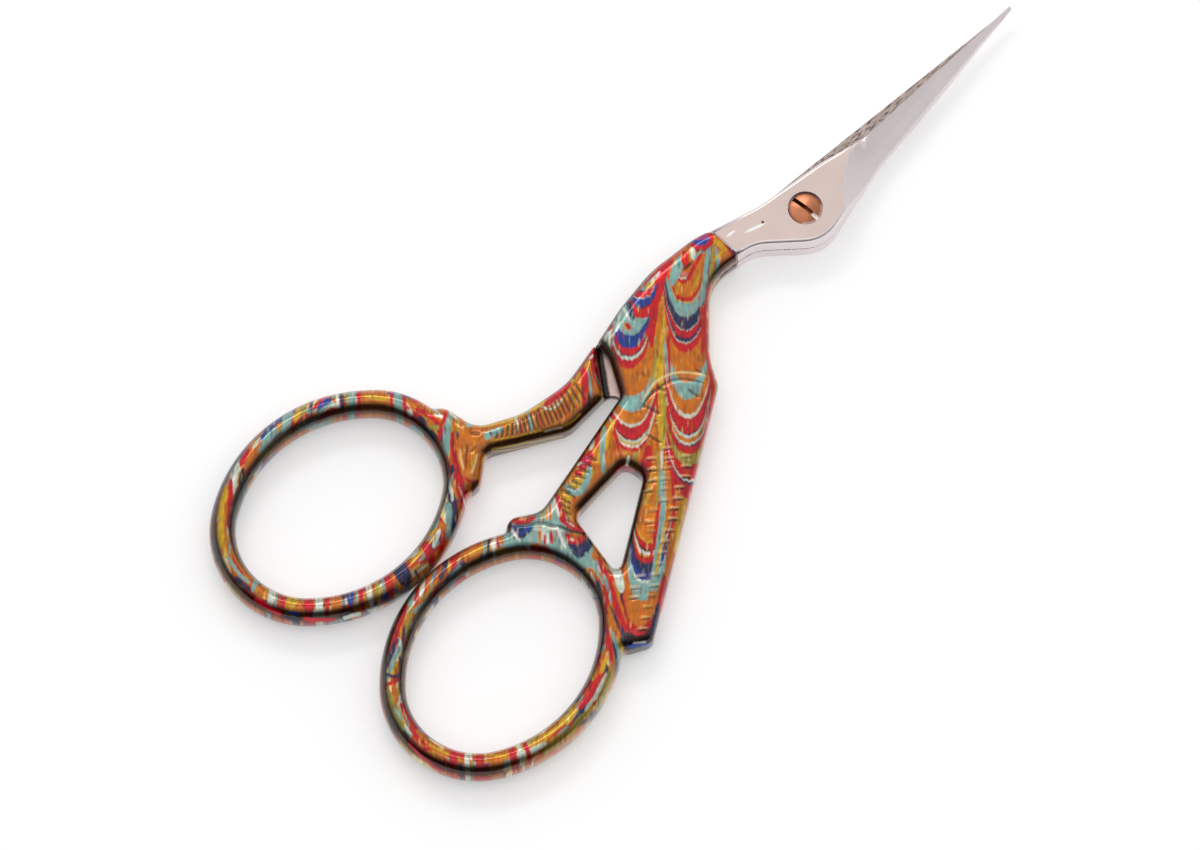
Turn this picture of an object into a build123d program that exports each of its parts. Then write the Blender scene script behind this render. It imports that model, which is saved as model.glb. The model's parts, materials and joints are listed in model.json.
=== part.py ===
from build123d import *
from math import atan2, cos, degrees, hypot, radians, sin, sqrt
import os

# Stork embroidery scissors, closed and lying on their back face.
# The origin is on the pivot axis at the back face, +X runs to the tips and +Z out of the front.
# All lengths are in millimetres.

# Overall sizes
handle_thickness = 4.0       # over the lacquer, rings and legs
joint_thickness = handle_thickness  # both steel halves together at the pivot
blade_reach = 29.8           # pivot to tip
joint_width = 6.4            # across both halves beside the screw
ring_reach = 40.2            # pivot to the near side of the finger rings

# Finger rings
ring_bore_length = 22.0
ring_bore_width = 16.8
ring_band = 2.65             # width of the band seen from the front
ring_end_radius = 7.0        # of the bore, at its narrow ends
ring_turn = 7.0              # degrees, each ring's long axis against the blades
ring_gap = 0.10              # between the two rings when closed
ring_line = 0.60             # height of the line between the rings, above the pivot

# Edges, lacquer and fits
edge_round = 1.0             # on every rim of the handles
joint_round = 0.40           # on the rim of the bare steel joint
coat = 0.16                  # thickness of the lacquer
bond = 0.02                  # room between lacquer and steel
inner_gap = 0.05             # between the two inner faces
coat_end = 8.0               # pivot to the end of the lacquer on the neck
coat_end_radius = 9.0        # that end is a shallow curve

# Blades
edge_land = 0.30             # thickness left at the cutting edge
grind_angle = 26.5           # degrees, at the cutting edge
grind_radius = 20.0          # of the hollow grind
grind_runout = 11.7          # rounding where the grind ends towards the pivot

# Pivot screw
head_radius = 1.62
head_rim = 0.45              # height of the head's straight rim
head_dome = 0.32             # height of the dome above the rim
head_clearance = 0.12        # round the head in its counterbore
head_proud = 0.08            # top of the dome above the joint
slot_width = 0.42
slot_depth = 0.45
slot_turn = 4.0              # degrees, the slot against +Y
shank_radius = 1.10
shank_clearance = 0.03       # running fit in the front half
thread_clearance = 0.01      # the screw is tight in the rear half

# Relief of the plumage
groove_radius = 0.30
groove_depth = 0.14

cut_over = 1.0               # how far cutting tools run past the metal

mid = handle_thickness / 2
joint_top = mid + joint_thickness / 2
joint_bottom = mid - joint_thickness / 2
spread = ring_bore_width + 2 * ring_band
least_corner = edge_round * 1.05

# Outlines of the handles: x as a share of ring_reach, y as a share of spread, and the radius
# that rounds the corner as a share of spread. A share of 0 keeps the corner sharp.
neck_and_back_shares = [
    (-0.124, 0.188, 0), (-0.244, 0.271, 0.54), (-0.373, 0.303, 0.54), (-0.498, 0.278, 0.54),
]
chest_shares = [
    (-0.438, -0.176, 0.27), (-0.294, 0.079, 0.22), (-0.211, 0.061, 0.36), (-0.124, 0.014, 0),
]
front_shares = neck_and_back_shares + [
    (-0.600, 0.238, 0), (-0.607, 0.154, 0.18), (-0.662, -0.014, 0.05),
    (-1.010, -0.136, 0.09), (-1.077, -0.054, 0.06), (-1.139, -0.118, 0),
    (-1.157, -0.271, 0), (-1.157, -0.724, 0), (-1.144, -0.842, 0),
    (-1.065, -0.923, 0.06), (-0.473, -0.292, 0.07),
] + chest_shares
front_gap_shares = [
    (-0.963, -0.262, 0.05), (-0.999, -0.593, 0.025), (-0.771, -0.348, 0.04), (-0.781, -0.247, 0.036),
]
rear_shares = neck_and_back_shares + [
    (-0.726, 0.201, 0.36), (-0.858, 0.244, 0.36),
    (-0.963, 0.348, 0.11), (-0.978, 0.511, 0.07), (-1.032, 0.597, 0),
    (-1.144, 0.543, 0), (-1.157, 0.249, 0), (-1.132, 0.149, 0),
    (-1.060, 0.145, 0.06), (-0.995, 0.231, 0.05), (-0.811, 0.034, 0.14),
    (-0.662, 0.038, 0.05), (-0.659, -0.095, 0.05), (-0.498, -0.231, 0.06),
] + chest_shares

# Where each half is full thickness: behind the step in the front half, left of the thigh in the rear
front_step_shares = [
    (-0.706, 0.1, 0), (-0.672, -0.12, 0.06), (-0.520, -0.25, 0.06), (-0.570, -0.45, 0),
    (-0.57, -1.2, 0), (-2.0, -1.2, 0), (-2.0, 0.1, 0),
]
rear_step_shares = [
    (-0.590, 0.28, 0), (-0.718, -0.03, 0), (-2.0, -0.03, 0), (-2.0, 1.2, 0), (-0.59, 1.2, 0),
]

# Outlines of the joint and blades: x as a share of blade_reach, y and the corner radius as shares
# of joint_width
neck_top_shares = [(-0.289, 0.820, 0)]
belly_shares = [(-0.037, -0.597, 0.62), (-0.206, 0.144, 0.62), (-0.289, 0.227, 0)]
front_blade_shares = [
    (-0.101, 0.547, 2.3), (0.161, 0.344, 1.6), (0.309, 0.156, 1.2), (1.0, 0.090, 0), (1.0, 0.062, 0),
    (0.295, -0.258, 1.9),
]
rear_blade_shares = [
    (-0.101, 0.600, 2.3), (1.0, 0.086, 0), (1.0, 0.058, 0), (0.295, -0.235, 1.9),
]
rim_end_share = 0.60          # the rounded rim runs out here, where the grind has taken it all
neck_centre_share = 0.50      # height of the middle of the lacquer's curved end

# Cutting edges, from the heel to the tip, as shares of blade_reach and joint_width
front_edge_shares = [(0.295, -0.258), (1.0, 0.062)]
rear_edge_shares = [(0.235, 0.443), (1.0, 0.086)]

# Strokes of the relief: both ends as shares of ring_reach and spread
front_stroke_shares = [
    ((-0.480, -0.235), (-0.510, -0.150)), ((-0.510, -0.150), (-0.552, -0.103)),
    ((-0.552, -0.103), (-0.595, -0.092)), ((-0.637, -0.149), (-0.629, -0.195)),
    ((-0.689, -0.235), (-0.677, -0.317)), ((-0.540, -0.208), (-0.535, -0.267)),
    ((-0.590, -0.118), (-0.572, -0.158)), ((-0.420, 0.150), (-0.436, 0.110)),
    ((-0.655, -0.170), (-0.690, -0.215)),
]
rear_stroke_shares = [
    ((-0.975, 0.460), (-0.985, 0.385)), ((-1.005, 0.350), (-1.055, 0.255)),
    ((-0.960, 0.320), (-0.985, 0.300)),
]
# Ladders of short strokes: first and last middle, how many, the stroke's length and its angle
tail_ladder_shares = [
    ((-0.728, -0.327), (-0.872, -0.558), 8), ((-0.685, -0.342), (-0.809, -0.535), 7),
    ((-0.968, -0.677), (-1.040, -0.754), 4), ((-0.664, -0.435), (-1.063, -0.853), 17),
]
leg_ladder_shares = [((-0.840, -0.165), (-0.955, -0.200), 7)]
thigh_ladder_shares = [((-0.715, 0.130), (-0.815, 0.140), 6), ((-0.835, 0.150), (-0.935, 0.265), 7)]
tail_stroke, tail_slant = 1.0, -42.0
leg_stroke, leg_slant = 1.30, -78.0
thigh_stroke, thigh_slant = 2.30, 84.0


def outline(points, reach, width):
    """A face whose corners are rounded, from shares of two named sizes."""
    places = [(x * reach, y * width) for x, y, _ in points]
    radii = [max(r * width, least_corner) if r > 0 else 0 for _, _, r in points]
    return make_face(FilletPolyline(*places, radius=radii, close=True))


def hole(points, reach, width):
    """A gap in a handle, whose corners may be tighter than the rims are rounded."""
    places = [(x * reach, y * width) for x, y, _ in points]
    return make_face(FilletPolyline(*places, radius=[r * width for _, _, r in points], close=True))


def oval(grow):
    """A four-arc oval round the ring's bore, grown by the given width."""
    half_length = ring_bore_length / 2
    half_width = ring_bore_width / 2
    end_centre = half_length - ring_end_radius
    flank = (end_centre**2 + half_width**2 - ring_end_radius**2) / (2 * (half_width - ring_end_radius))
    lean = atan2(end_centre, flank - half_width)
    end, side = ring_end_radius + grow, flank + grow
    x, y = end_centre + end * sin(lean), end * cos(lean)
    top, tip = (0, half_width + grow), (half_length + grow, 0)
    arcs = [
        ThreePointArc((-x, y), top, (x, y)), ThreePointArc((x, y), tip, (x, -y)),
        ThreePointArc((x, -y), (0, -top[1]), (-x, -y)), ThreePointArc((-x, -y), (-tip[0], 0), (-x, y)),
    ]
    return make_face(Curve() + arcs)


def ring(side, grow):
    """One finger ring's outline; side is 1 for the rear half's ring and -1 for the front's."""
    centre_x = -ring_reach - ring_bore_length / 2 - ring_band
    centre_y = ring_line + side * (ring_gap + spread) / 2
    return Pos(centre_x, centre_y) * Rot(0, 0, -side * ring_turn) * oval(grow)


def handle_plan(side):
    """Plan of one handle, and the part of it that is full thickness."""
    if side < 0:
        shares, step = front_shares, front_step_shares
    else:
        shares, step = rear_shares, rear_step_shares
    plan = outline(shares, ring_reach, spread)
    if side < 0:
        plan -= hole(front_gap_shares, ring_reach, spread)
    plan = plan + ring(side, ring_band) - ring(side, 0)
    return plan, plan & hole(step, ring_reach, spread)


def flat_edges(solid, height):
    """All edges of the flat faces at one height."""
    faces = [f for f in solid.faces() if f.normal_at().Z**2 > 0.999 and abs(f.center().Z - height) < bond]
    return ShapeList([e for f in faces for e in f.edges()])


def handle(plans, inset):
    """A handle with its body layer on top, drawn in by inset from the lacquer's outer face."""
    whole, thick = [offset(plan, amount=-inset) if inset > 0 else plan for plan in plans]
    face, top = mid + inner_gap / 2 + inset, handle_thickness - inset
    solid = Pos(0, 0, face) * extrude(whole, amount=top - face)
    solid += Pos(0, 0, inset) * extrude(thick, amount=top - inset)
    rims = flat_edges(solid, top) + flat_edges(solid, inset)
    return fillet(rims, edge_round - inset)


def stroke(start, end, inset):
    """Two round-bottomed engraving tools from start to end, one on each face of a handle."""
    length = hypot(end[0] - start[0], end[1] - start[1]) + 2 * inset
    turn = degrees(atan2(end[1] - start[1], end[0] - start[0]))
    middle = ((start[0] + end[0]) / 2, (start[1] + end[1]) / 2)
    above = groove_radius - groove_depth
    tool = Rot(0, 0, turn) * Rot(0, 90, 0) * Cylinder(groove_radius + inset, length)
    return [Pos(*middle, height) * tool for height in (handle_thickness + above, -above)]


def ladder(first, last, count, length, slant, inset):
    """A row of equal strokes between two middles."""
    half = (length * cos(radians(slant)) / 2, length * sin(radians(slant)) / 2)
    tools = []
    for i in range(count):
        x = first[0] + (last[0] - first[0]) * i / (count - 1)
        y = first[1] + (last[1] - first[1]) * i / (count - 1)
        tools += stroke((x - half[0], y - half[1]), (x + half[0], y + half[1]), inset)
    return tools


def relief(side, inset):
    """All engraving tools of one handle."""
    def at(share):
        return share[0] * ring_reach, share[1] * spread

    if side < 0:
        strokes = front_stroke_shares
        ladders = [(row, tail_stroke, tail_slant) for row in tail_ladder_shares]
        ladders += [(row, leg_stroke, leg_slant) for row in leg_ladder_shares]
    else:
        strokes = rear_stroke_shares
        ladders = [(row, thigh_stroke, thigh_slant) for row in thigh_ladder_shares]
    tools = [tool for start, end in strokes for tool in stroke(at(start), at(end), inset)]
    for (first, last, count), length, slant in ladders:
        tools += ladder(at(first), at(last), count, length, slant, inset)
    return tools


def grind(edge_shares, spine_side):
    """The wheel that hollow-grinds a blade's outer face, as a solid of revolution."""
    (x0, y0), (x1, y1) = [(x * blade_reach, y * joint_width) for x, y in edge_shares]
    along = degrees(atan2(y1 - y0, x1 - x0))
    length = hypot(x1 - x0, y1 - y0) + 2 * cut_over
    lift = radians(grind_angle)
    start, end = -grind_runout, length
    corners = [(start, 0), (end, 0), (end, grind_radius), (start, grind_radius)]
    profile = make_face(Polyline(*corners, close=True))
    corner = profile.vertices().sort_by(Axis.X)[:2].sort_by(Axis.Y)[-1]
    profile = fillet(corner, grind_runout)
    wheel = revolve(profile, Axis.X)
    centre = (0, -spine_side * grind_radius * sin(lift), grind_radius * cos(lift))
    heel = mid + inner_gap / 2 + edge_land
    return Pos(x0, y0, heel) * Rot(0, 0, along) * Pos(*centre) * wheel


def joint_plate(side):
    """The bare steel of one half: neck, joint and blade, with its body layer on top."""
    if side < 0:
        shares, edge, spine_side = front_blade_shares, front_edge_shares, 1
    else:
        shares, edge, spine_side = rear_blade_shares, rear_edge_shares, -1
    plan = outline(neck_top_shares + shares + belly_shares, blade_reach, joint_width)
    neck_middle = (-coat_end - coat_end_radius, neck_centre_share * joint_width)
    plan -= Pos(*neck_middle) * Circle(coat_end_radius + bond)
    split = rim_end_share * blade_reach
    big = Rectangle(2 * blade_reach, 2 * blade_reach)
    heel = plan & Pos(split - blade_reach, 0) * big
    point = plan & Pos(split + blade_reach, 0) * big
    face = mid + inner_gap / 2
    solid = Pos(0, 0, face) * extrude(heel, amount=joint_top - face)
    rim = [e for e in flat_edges(solid, joint_top)
           if abs(e.center().X - split) > bond and e.center().X > -coat_end + coat]
    solid = fillet(rim, joint_round)
    solid += Pos(0, 0, face) * extrude(point, amount=joint_top - face)
    return solid - grind(edge, spine_side)


def lacquer(side, outer, bore):
    """The film on a handle: its outer form less the metal's form, cut off at the neck."""
    neck_middle = (-coat_end - coat_end_radius, neck_centre_share * joint_width, mid)
    inside = Pos(*neck_middle) * Cylinder(coat_end_radius, 2 * handle_thickness)
    beyond = Pos(-coat_end + blade_reach / 2 - joint_round, 0, mid)
    beyond = beyond * Box(blade_reach, 2 * spread, 2 * handle_thickness)
    return outer - bore - (beyond - inside)


def turned_over(solid):
    """A solid mirrored to the back of the scissors."""
    return mirror(solid, about=Plane.XY.offset(mid))


def screw():
    """The pivot screw: domed slotted head, plain shank, end flush with the back of the joint."""
    top = joint_top + head_proud
    rim_top = top - head_dome
    seat = rim_top - head_rim
    profile = Curve() + [
        Line((0, joint_bottom), (shank_radius, joint_bottom)),
        Line((shank_radius, joint_bottom), (shank_radius, seat)),
        Line((shank_radius, seat), (head_radius, seat)), Line((head_radius, seat), (head_radius, rim_top)),
    ]
    swell = (head_radius**2 + head_dome**2) / (2 * head_dome)
    mid_dome = (head_radius / 2, rim_top + head_dome - swell + sqrt(swell**2 - head_radius**2 / 4))
    profile += [ThreePointArc((head_radius, rim_top), mid_dome, (0, top)), Line((0, top), (0, joint_bottom))]
    body = revolve(make_face(Plane.XZ * profile), Axis.Z)
    slot = Box(slot_width, 2 * head_radius + cut_over, 2 * slot_depth)
    return body - Pos(0, 0, top) * Rot(0, 0, slot_turn) * slot, seat


os.makedirs("parts", exist_ok=True)
pivot_screw, seat = screw()
counterbore = Cylinder(head_radius + head_clearance, handle_thickness)
counterbore = Pos(0, 0, seat + handle_thickness / 2) * counterbore
front_bore = Cylinder(shank_radius + shank_clearance, 4 * handle_thickness)
rear_bore = Cylinder(shank_radius + thread_clearance, 4 * handle_thickness)

nodes = {"pivot_screw": pivot_screw}
for side, name in ((-1, "front"), (1, "rear")):
    plans = handle_plan(side)
    outer, bore, core = [handle(plans, inset) - relief(side, inset) for inset in (0, coat, coat + bond)]
    steel = joint_plate(side) + core
    film = lacquer(side, outer, bore)
    if side < 0:
        steel -= [counterbore, front_bore]
    else:
        steel, film = turned_over(steel) - rear_bore, turned_over(film)
    nodes[f"{name}_half"] = steel
    nodes[f"{name}_handle_lacquer"] = film

for name, solid in nodes.items():
    export_step(solid, f"parts/{name}.step")
    box = solid.bounding_box()
    print(name, "solids", len(solid.solids()), "volume", round(solid.volume, 2), "valid", solid.is_valid,
          "box", [round(v, 2) for v in (*box.min, *box.max)])
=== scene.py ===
import json
import math

import bmesh
import bpy
import numpy as np
from bpy.props import FloatProperty, FloatVectorProperty, PointerProperty
from mathutils import Matrix, Vector
from mathutils.bvhtree import BVHTree
from mathutils.kdtree import KDTree

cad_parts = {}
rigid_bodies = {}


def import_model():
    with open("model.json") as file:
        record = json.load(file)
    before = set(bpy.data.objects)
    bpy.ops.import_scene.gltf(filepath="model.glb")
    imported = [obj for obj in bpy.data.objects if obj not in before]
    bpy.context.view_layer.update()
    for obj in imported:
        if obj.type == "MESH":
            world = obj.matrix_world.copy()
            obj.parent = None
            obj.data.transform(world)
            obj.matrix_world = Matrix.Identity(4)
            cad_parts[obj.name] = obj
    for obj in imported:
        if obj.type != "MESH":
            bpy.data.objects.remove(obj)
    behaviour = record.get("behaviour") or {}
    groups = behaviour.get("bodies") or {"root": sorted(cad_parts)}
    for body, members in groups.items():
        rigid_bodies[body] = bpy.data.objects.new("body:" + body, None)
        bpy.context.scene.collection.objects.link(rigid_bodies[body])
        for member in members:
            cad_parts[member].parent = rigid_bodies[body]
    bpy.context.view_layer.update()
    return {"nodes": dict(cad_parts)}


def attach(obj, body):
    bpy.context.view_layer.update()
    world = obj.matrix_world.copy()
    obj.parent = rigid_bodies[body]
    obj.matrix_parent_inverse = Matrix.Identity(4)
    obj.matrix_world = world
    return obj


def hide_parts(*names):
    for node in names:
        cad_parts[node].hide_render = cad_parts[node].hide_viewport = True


bl_info = {
    "name": "Stork embroidery scissors",
    "version": (1, 0, 0),
    "blender": (4, 5, 0),
    "location": "View3D > Sidebar > Scissors",
    "description": "Lacquered handles, ground steel blades and pivot screw of a pair of stork scissors",
    "category": "Object",
}

for thing in list(bpy.data.objects):
    bpy.data.objects.remove(thing)
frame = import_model()

# The frame is in metres; the places and sizes below are in mm and become metres with MM.
MM = 0.001
MID = 2.0                       # height of the plane between the two halves
FRONT_FACE = 4.0                # height of the front face
STEEL_END = -9.5                # the bare steel is cut here, just under the lacquer's end
ROUNDING_BEGINS = -9.0          # the lacquer's rims are rounded from here on, fully 3 mm further
RINGS_BEGIN = -41.0             # the finger rings lie behind this
BIRD_TURN = math.radians(46.1)  # the blades point this far to the photograph's upper right
CAMERA_TILT = math.radians(20.0)
RIGHT = Vector((math.cos(BIRD_TURN), -math.sin(BIRD_TURN), 0))
UP = Vector((math.sin(BIRD_TURN), math.cos(BIRD_TURN), 0))
OUT = Vector((0, 0, 1))         # from the front face


def hex_colour(code):
    """Linear RGBA of an sRGB hex colour."""
    parts = [int(code[i:i + 2], 16) / 255 for i in (1, 3, 5)]
    return tuple(c / 12.92 if c <= 0.04045 else ((c + 0.055) / 1.055) ** 2.4 for c in parts) + (1.0,)


# ---------------------------------------------------------------- the marbling
# Places on the handles are (right, up) in millimetres from the pivot, as the bird stands in the
# photograph. The ink is floated on a bath and combed, so it lies in two kinds of figure: streaks,
# and nests of scallops one inside the other. They are laid in the order of the lists, the later
# ones on top. A streak's row holds its ink, its width, and the right and up of each of its places.

def nest(right, up, half_width, rise, lean, reach, *bands):
    """Scallops above their lowest point. In the bands each ink is followed by its thickness."""
    return (right, up), (half_width, rise, lean, reach), tuple(zip(bands[::2], bands[1::2]))


FRONT_INKS = [
    ("aqua", 3.34, -30, -34.6, -27.1, -33.5, -25.3, -32.5, -23.9, -34.6, -21, -36.9),
    ("orange", 1.57, -20.6, -28.5, -22.2, -31.6, -22.7, -32.9),
    ("red", 0.69, -13.4, -30.9, -13.2, -33.7, -13.1, -36.9, -13.5, -39.5),
    ("aqua", 0.26, -13.3, -28.1, -12.9, -30.2, -12.2, -31.8),
    nest(-16.7, -46.2, 1.47, 1.77, 0.12, 15.66, "navy", 0.52, "black", 1.15, "red", 0.94, "orange", 2.61,
         "aqua", 1.77, "pale", 0.26, "blue", 0.84, "navy", 1.04, "red", 0.63, "gold", 0.21, "white", 0.31,
         "black", 0.26, "red", 0.63, "gold", 0.31, "orange", 4.8),
    ("red", 0.59, -13.9, -38.4, -14.2, -40.7, -14.8, -42.7),
    ("navy", 0.49, -14.5, -41.2, -14.9, -43.3, -15.4, -45.2),
    ("orange", 0.44, -15, -38.1, -15.2, -40.5, -15.6, -42.7),
    ("aqua", 0.78, -14, -31.1, -14.2, -33.7, -14.6, -36.9, -15.2, -39.8),
    ("olive", 0.34, -14.3, -35.3, -14.8, -38.4), ("aqua", 0.69, -14.1, -27.5, -14.1, -31.2),
    ("orange", 0.59, -13.4, -25.2, -13.5, -28, -13.5, -30.9),
    ("orange", 0.59, -14.7, -25.6, -14.7, -28.5, -14.8, -31.1),
    ("red", 0.39, -14.5, -30.9, -14.6, -32.7, -15, -35.3, -15.3, -36.6),
    ("red", 0.98, -15.5, -25, -15.6, -26.6, -16, -28.5),
    ("gold", 0.29, -15.1, -27.5, -15.4, -29.5, -15.8, -31.1),
    ("orange", 0.78, -11.9, -27.9, -12.5, -31.4, -13.1, -34.8, -13.6, -37.5),
    ("gold", 0.39, -11.5, -27.5, -11.9, -30.1, -12.4, -32.7, -12.9, -35.6),
    ("red", 0.49, -11, -27, -11.2, -29.5, -11.8, -32.7, -12.4, -35.6),
    ("red", 0.29, -13.2, -27.7, -12.9, -30.6, -13.1, -33.7),
    ("olive", 0.29, -14.7, -25.2, -14.4, -28, -14.8, -31.6),
    ("gold", 0.24, -13.9, -32.7, -14.2, -35.3, -14.7, -37.9),
    ("olive", 0.39, -16.2, -23.9, -16.7, -25.6, -17.2, -27), ("aqua", 0.49, -16.3, -29.9, -16.5, -31.2),
    ("pale", 0.29, -14.1, -24.7, -14.2, -27.2), ("navy", 0.69, -19.3, -41.7, -18.6, -43.6, -17.7, -45.5),
    ("pale", 0.88, -19.4, -36.4, -18.5, -38.1, -18.1, -40),
    ("orange", 0.49, -18.9, -39.4, -18.3, -41.3, -17.7, -43.3),
    ("red", 0.69, -20.4, -36.4, -19.8, -37.9, -19.1, -39.8, -18.6, -41.9, -17.6, -44.1),
    ("aqua", 0.34, -19.9, -38.2, -19.4, -39.8, -19.1, -41.2), ("orange", 0.59, -20.5, -35.1, -20.9, -37.1),
    nest(-11.6, -30.1, 1.86, 2.92, 0, 17.75, "red", 1.36, "navy", 0.31, "white", 0.21, "red", 1.36,
         "olive", 1.15, "red", 0.73, "navy", 0.17, "pale", 0.25, "orange", 0.52, "pale", 0.31,
         "black", 0.16, "red", 1.57, "pale", 0.42, "orange", 1.57, "aqua", 1.77, "orange", 4.18),
    nest(-11.8, -15.1, 1.86, 3.13, 0, 11.48, "red", 0.84, "pale", 0.13, "navy", 0.47, "red", 0.84,
         "pale", 0.08, "navy", 1.36, "aqua", 1.36, "gold", 0.17, "red", 0.52, "orange", 2.3, "amber", 3.13),
    nest(-17.1, -25.5, 2.06, 2.61, 0, 12.53, "red", 0.42, "white", 0.21, "gold", 0.26, "pale", 0.26,
         "black", 0.16, "red", 1.25, "pale", 0.31, "orange", 1.36, "aqua", 1.67, "orange", 4.18),
    nest(-17.4, -16.8, 1.67, 2.09, 0.04, 9.92, "red", 0.84, "pale", 0.37, "navy", 0.16, "red", 0.73,
         "blue", 1.36, "aqua", 6.26),
    ("red", 0.88, -13.8, -5.2, -14.8, -7.6, -15.2, -9.9),
    ("red", 0.69, -15.1, -9.5, -14.9, -12, -15.2, -14.5),
    ("red", 0.39, -10.4, -9.3, -10, -12.8, -10.2, -15.1),
    ("red", 0.29, -13.4, -12.8, -13.5, -16, -13.3, -18.6),
    ("gold", 0.98, -14.2, -9.5, -14.3, -12.8, -14.5, -16, -14.3, -20.1, -14.1, -25.1),
    ("orange", 0.49, -14.1, -9.7, -14.4, -12.8, -14.8, -15.6, -15.3, -17.6),
    ("olive", 0.29, -14.7, -13.4, -14.8, -16.5, -15.3, -18.6),
    ("aqua", 0.25, -13.9, -14.4, -13.7, -16.2, -13.5, -17.9),
    ("red", 0.29, -14.6, -18.1, -14.7, -20.1, -14.5, -21.7),
    ("olive", 0.39, -13.9, -20.1, -13.8, -22.2, -14, -24.3),
    ("red", 0.39, -13.6, -20.7, -13.4, -22.8, -12.8, -24.8),
    ("olive", 0.39, -9.6, -13.4, -9.5, -15.1, -9.1, -17.2),
    ("red", 0.44, -9.8, -9.9, -9.9, -12.8, -9.7, -15.1, -9.2, -17.9, -9.1, -19.9, -9.5, -22.8, -10, -24.8),
    ("olive", 0.34, -8.7, -18.1, -8.8, -20.1, -9.2, -23.3, -9.8, -25.9),
    nest(-12, -7.9, 0.88, 1.15, 0, 1.36, "red", 0.47, "pale", 0.21, "red", 0.47),
    ("aqua", 0.98, -12.1, -4.9, -12.7, -6.4, -13.1, -8),
    ("red", 0.88, -13.2, -5.3, -14.2, -7.4, -14.7, -9.3, -15, -11.8, -15.3, -14.1),
    nest(-16.1, -11.5, 1.37, 1.57, 0, 3.76, "red", 1.04, "black", 0.14, "blue", 0.84, "pale", 0.1,
         "red", 0.63, "navy", 0.16, "aqua", 1.67),
    ("pale", 0.59, -18.2, -9.7, -18.5, -11.3, -18.7, -12.8),
    ("navy", 0.54, -17.5, -9.7, -17.2, -10.6, -16.9, -11.6),
    ("white", 0.2, -18.1, -9.9, -17.6, -11, -17.3, -11.8), ("red", 0.59, -17.7, -12.2, -17.3, -12.6),
    ("gold", 0.16, -18, -12, -17.5, -12.9), ("gold", 0.49, -14.8, -7.3, -15.7, -8.4),
    ("white", 0.29, -14.3, -6.6, -15.3, -7.7), ("red", 0.78, -12.1, -4.5, -11.7, -6.1),
    ("pale", 0.59, -11.2, -4.1, -11, -5.3), ("black", 0.26, -12, -6.5, -11.2, -5.7),
    ("aqua", 0.49, -9.9, -4.2, -10.8, -5.4), ("red", 0.39, -10.2, -4.8, -11, -6.3, -11.6, -7.4),
    ("gold", 0.24, -12.4, -7.9, -12.7, -9.1), ("gold", 0.24, -10.4, -6.8, -11, -8.4),
    ("aqua", 0.49, -9.6, -4.3, -9.8, -6.4, -10, -8.9, -10.4, -10.2),
    ("olive", 0.34, -9.1, -3.9, -9.2, -5.7, -9.3, -7.8), ("orange", 0.39, -9.3, -8.1, -9.5, -9.7),
    ("aqua", 0.39, -8.8, -4.1, -8.6, -5.7, -8.8, -7.6), ("gold", 0.59, -9, -3.4, -8, -4.2),
    ("amber", 0.59, -7.7, -5.1, -8.2, -6.6, -9, -8.5), ("gold", 0.2, -7.6, -4.2, -9.2, -5.5),
    nest(-10.3, -4.5, 1.18, 1.04, -0.08, 2.09, "navy", 0.14, "red", 0.47, "blue", 0.63, "pink", 0.26,
         "navy", 0.63),
    ("red", 0.39, -9.5, -2.5, -9.1, -3.4, -9.8, -4.2), ("red", 0.44, -7.7, -4, -7.2, -4.7, -6.9, -5.7),
    ("navy", 0.49, -8.5, -2.6, -7.7, -3.5, -6.9, -4.9),
    ("red", 0.26, -10.4, -2.6, -12, -3.8, -13.3, -5.1, -15.3, -7.2, -16.7, -8.7),
    ("pale", 0.69, -18.4, -9.7, -19.5, -12.6, -19.4, -15.5), ("red", 0.49, -19, -11.8, -19.4, -12.7),
    ("red", 0.39, -18.4, -10.5, -18.8, -11.2), ("gold", 0.29, -19.6, -12, -20, -13.3),
    ("aqua", 0.39, -19.6, -13.9, -19.3, -15.1),
    ("aqua", 0.22, -17.5, -9.1, -18.3, -10.1, -18.8, -12, -19, -14.4),
    ("amber", 0.39, -18.9, -14.9, -18.6, -17.5, -18.3, -19.3),
    ("gold", 0.69, -18.9, -22.2, -19.5, -24.3, -20.4, -26.6),
    ("aqua", 0.54, -19.8, -22.8, -20, -25.2, -19.9, -27.7),
    ("orange", 0.44, -19.2, -23.3, -19.1, -25.4, -19.5, -27.2),
    ("red", 0.29, -18.9, -22.7, -18.6, -24.3, -18.2, -26), ("red", 0.39, -20.3, -22.8, -20.6, -25),
    ("pale", 0.39, -20.9, -24, -21.2, -25.2), ("gold", 1.28, -21, -27.5, -22.4, -28.8, -23.2, -30.2),
    ("orange", 0.59, -20.4, -27.5, -21, -29.5, -22, -31), ("red", 1.37, -21.2, -25.6, -22.1, -27.2),
    ("red", 0.59, -22.1, -27.9, -22.7, -27.5), ("pink", 0.39, -21.4, -26, -21.8, -26.8),
    ("white", 0.34, -22.1, -26.5, -22.4, -26.8),
    ("aqua", 0.64, -21.2, -27, -21.4, -28.5, -22.2, -29.8, -22.9, -29.8, -23.6, -28.8),
    ("pale", 0.16, -23.3, -28.9, -22.8, -29.5, -22.2, -29.4),
    ("gold", 0.29, -23.5, -30.1, -23.4, -31.6, -23, -32.5), ("amber", 0.39, -22.2, -30.6, -22.4, -32.2),
    ("pale", 0.59, -24.8, -30, -25.1, -31.4, -25.2, -32.7),
    ("red", 0.59, -24.5, -29.8, -24.3, -31.2, -23.7, -32.7),
    ("white", 0.26, -24.8, -30, -24.5, -31.3, -24.2, -32.4), ("olive", 0.22, -25.8, -31.2, -25.8, -32.8),
    ("gold", 0.2, -25.4, -30.9, -25.5, -32.8), ("amber", 0.24, -25.1, -30.9, -25.1, -32.8),
    nest(-22.2, -36.5, 1.37, 2.09, 0, 3.13, "navy", 3.13),
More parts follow.
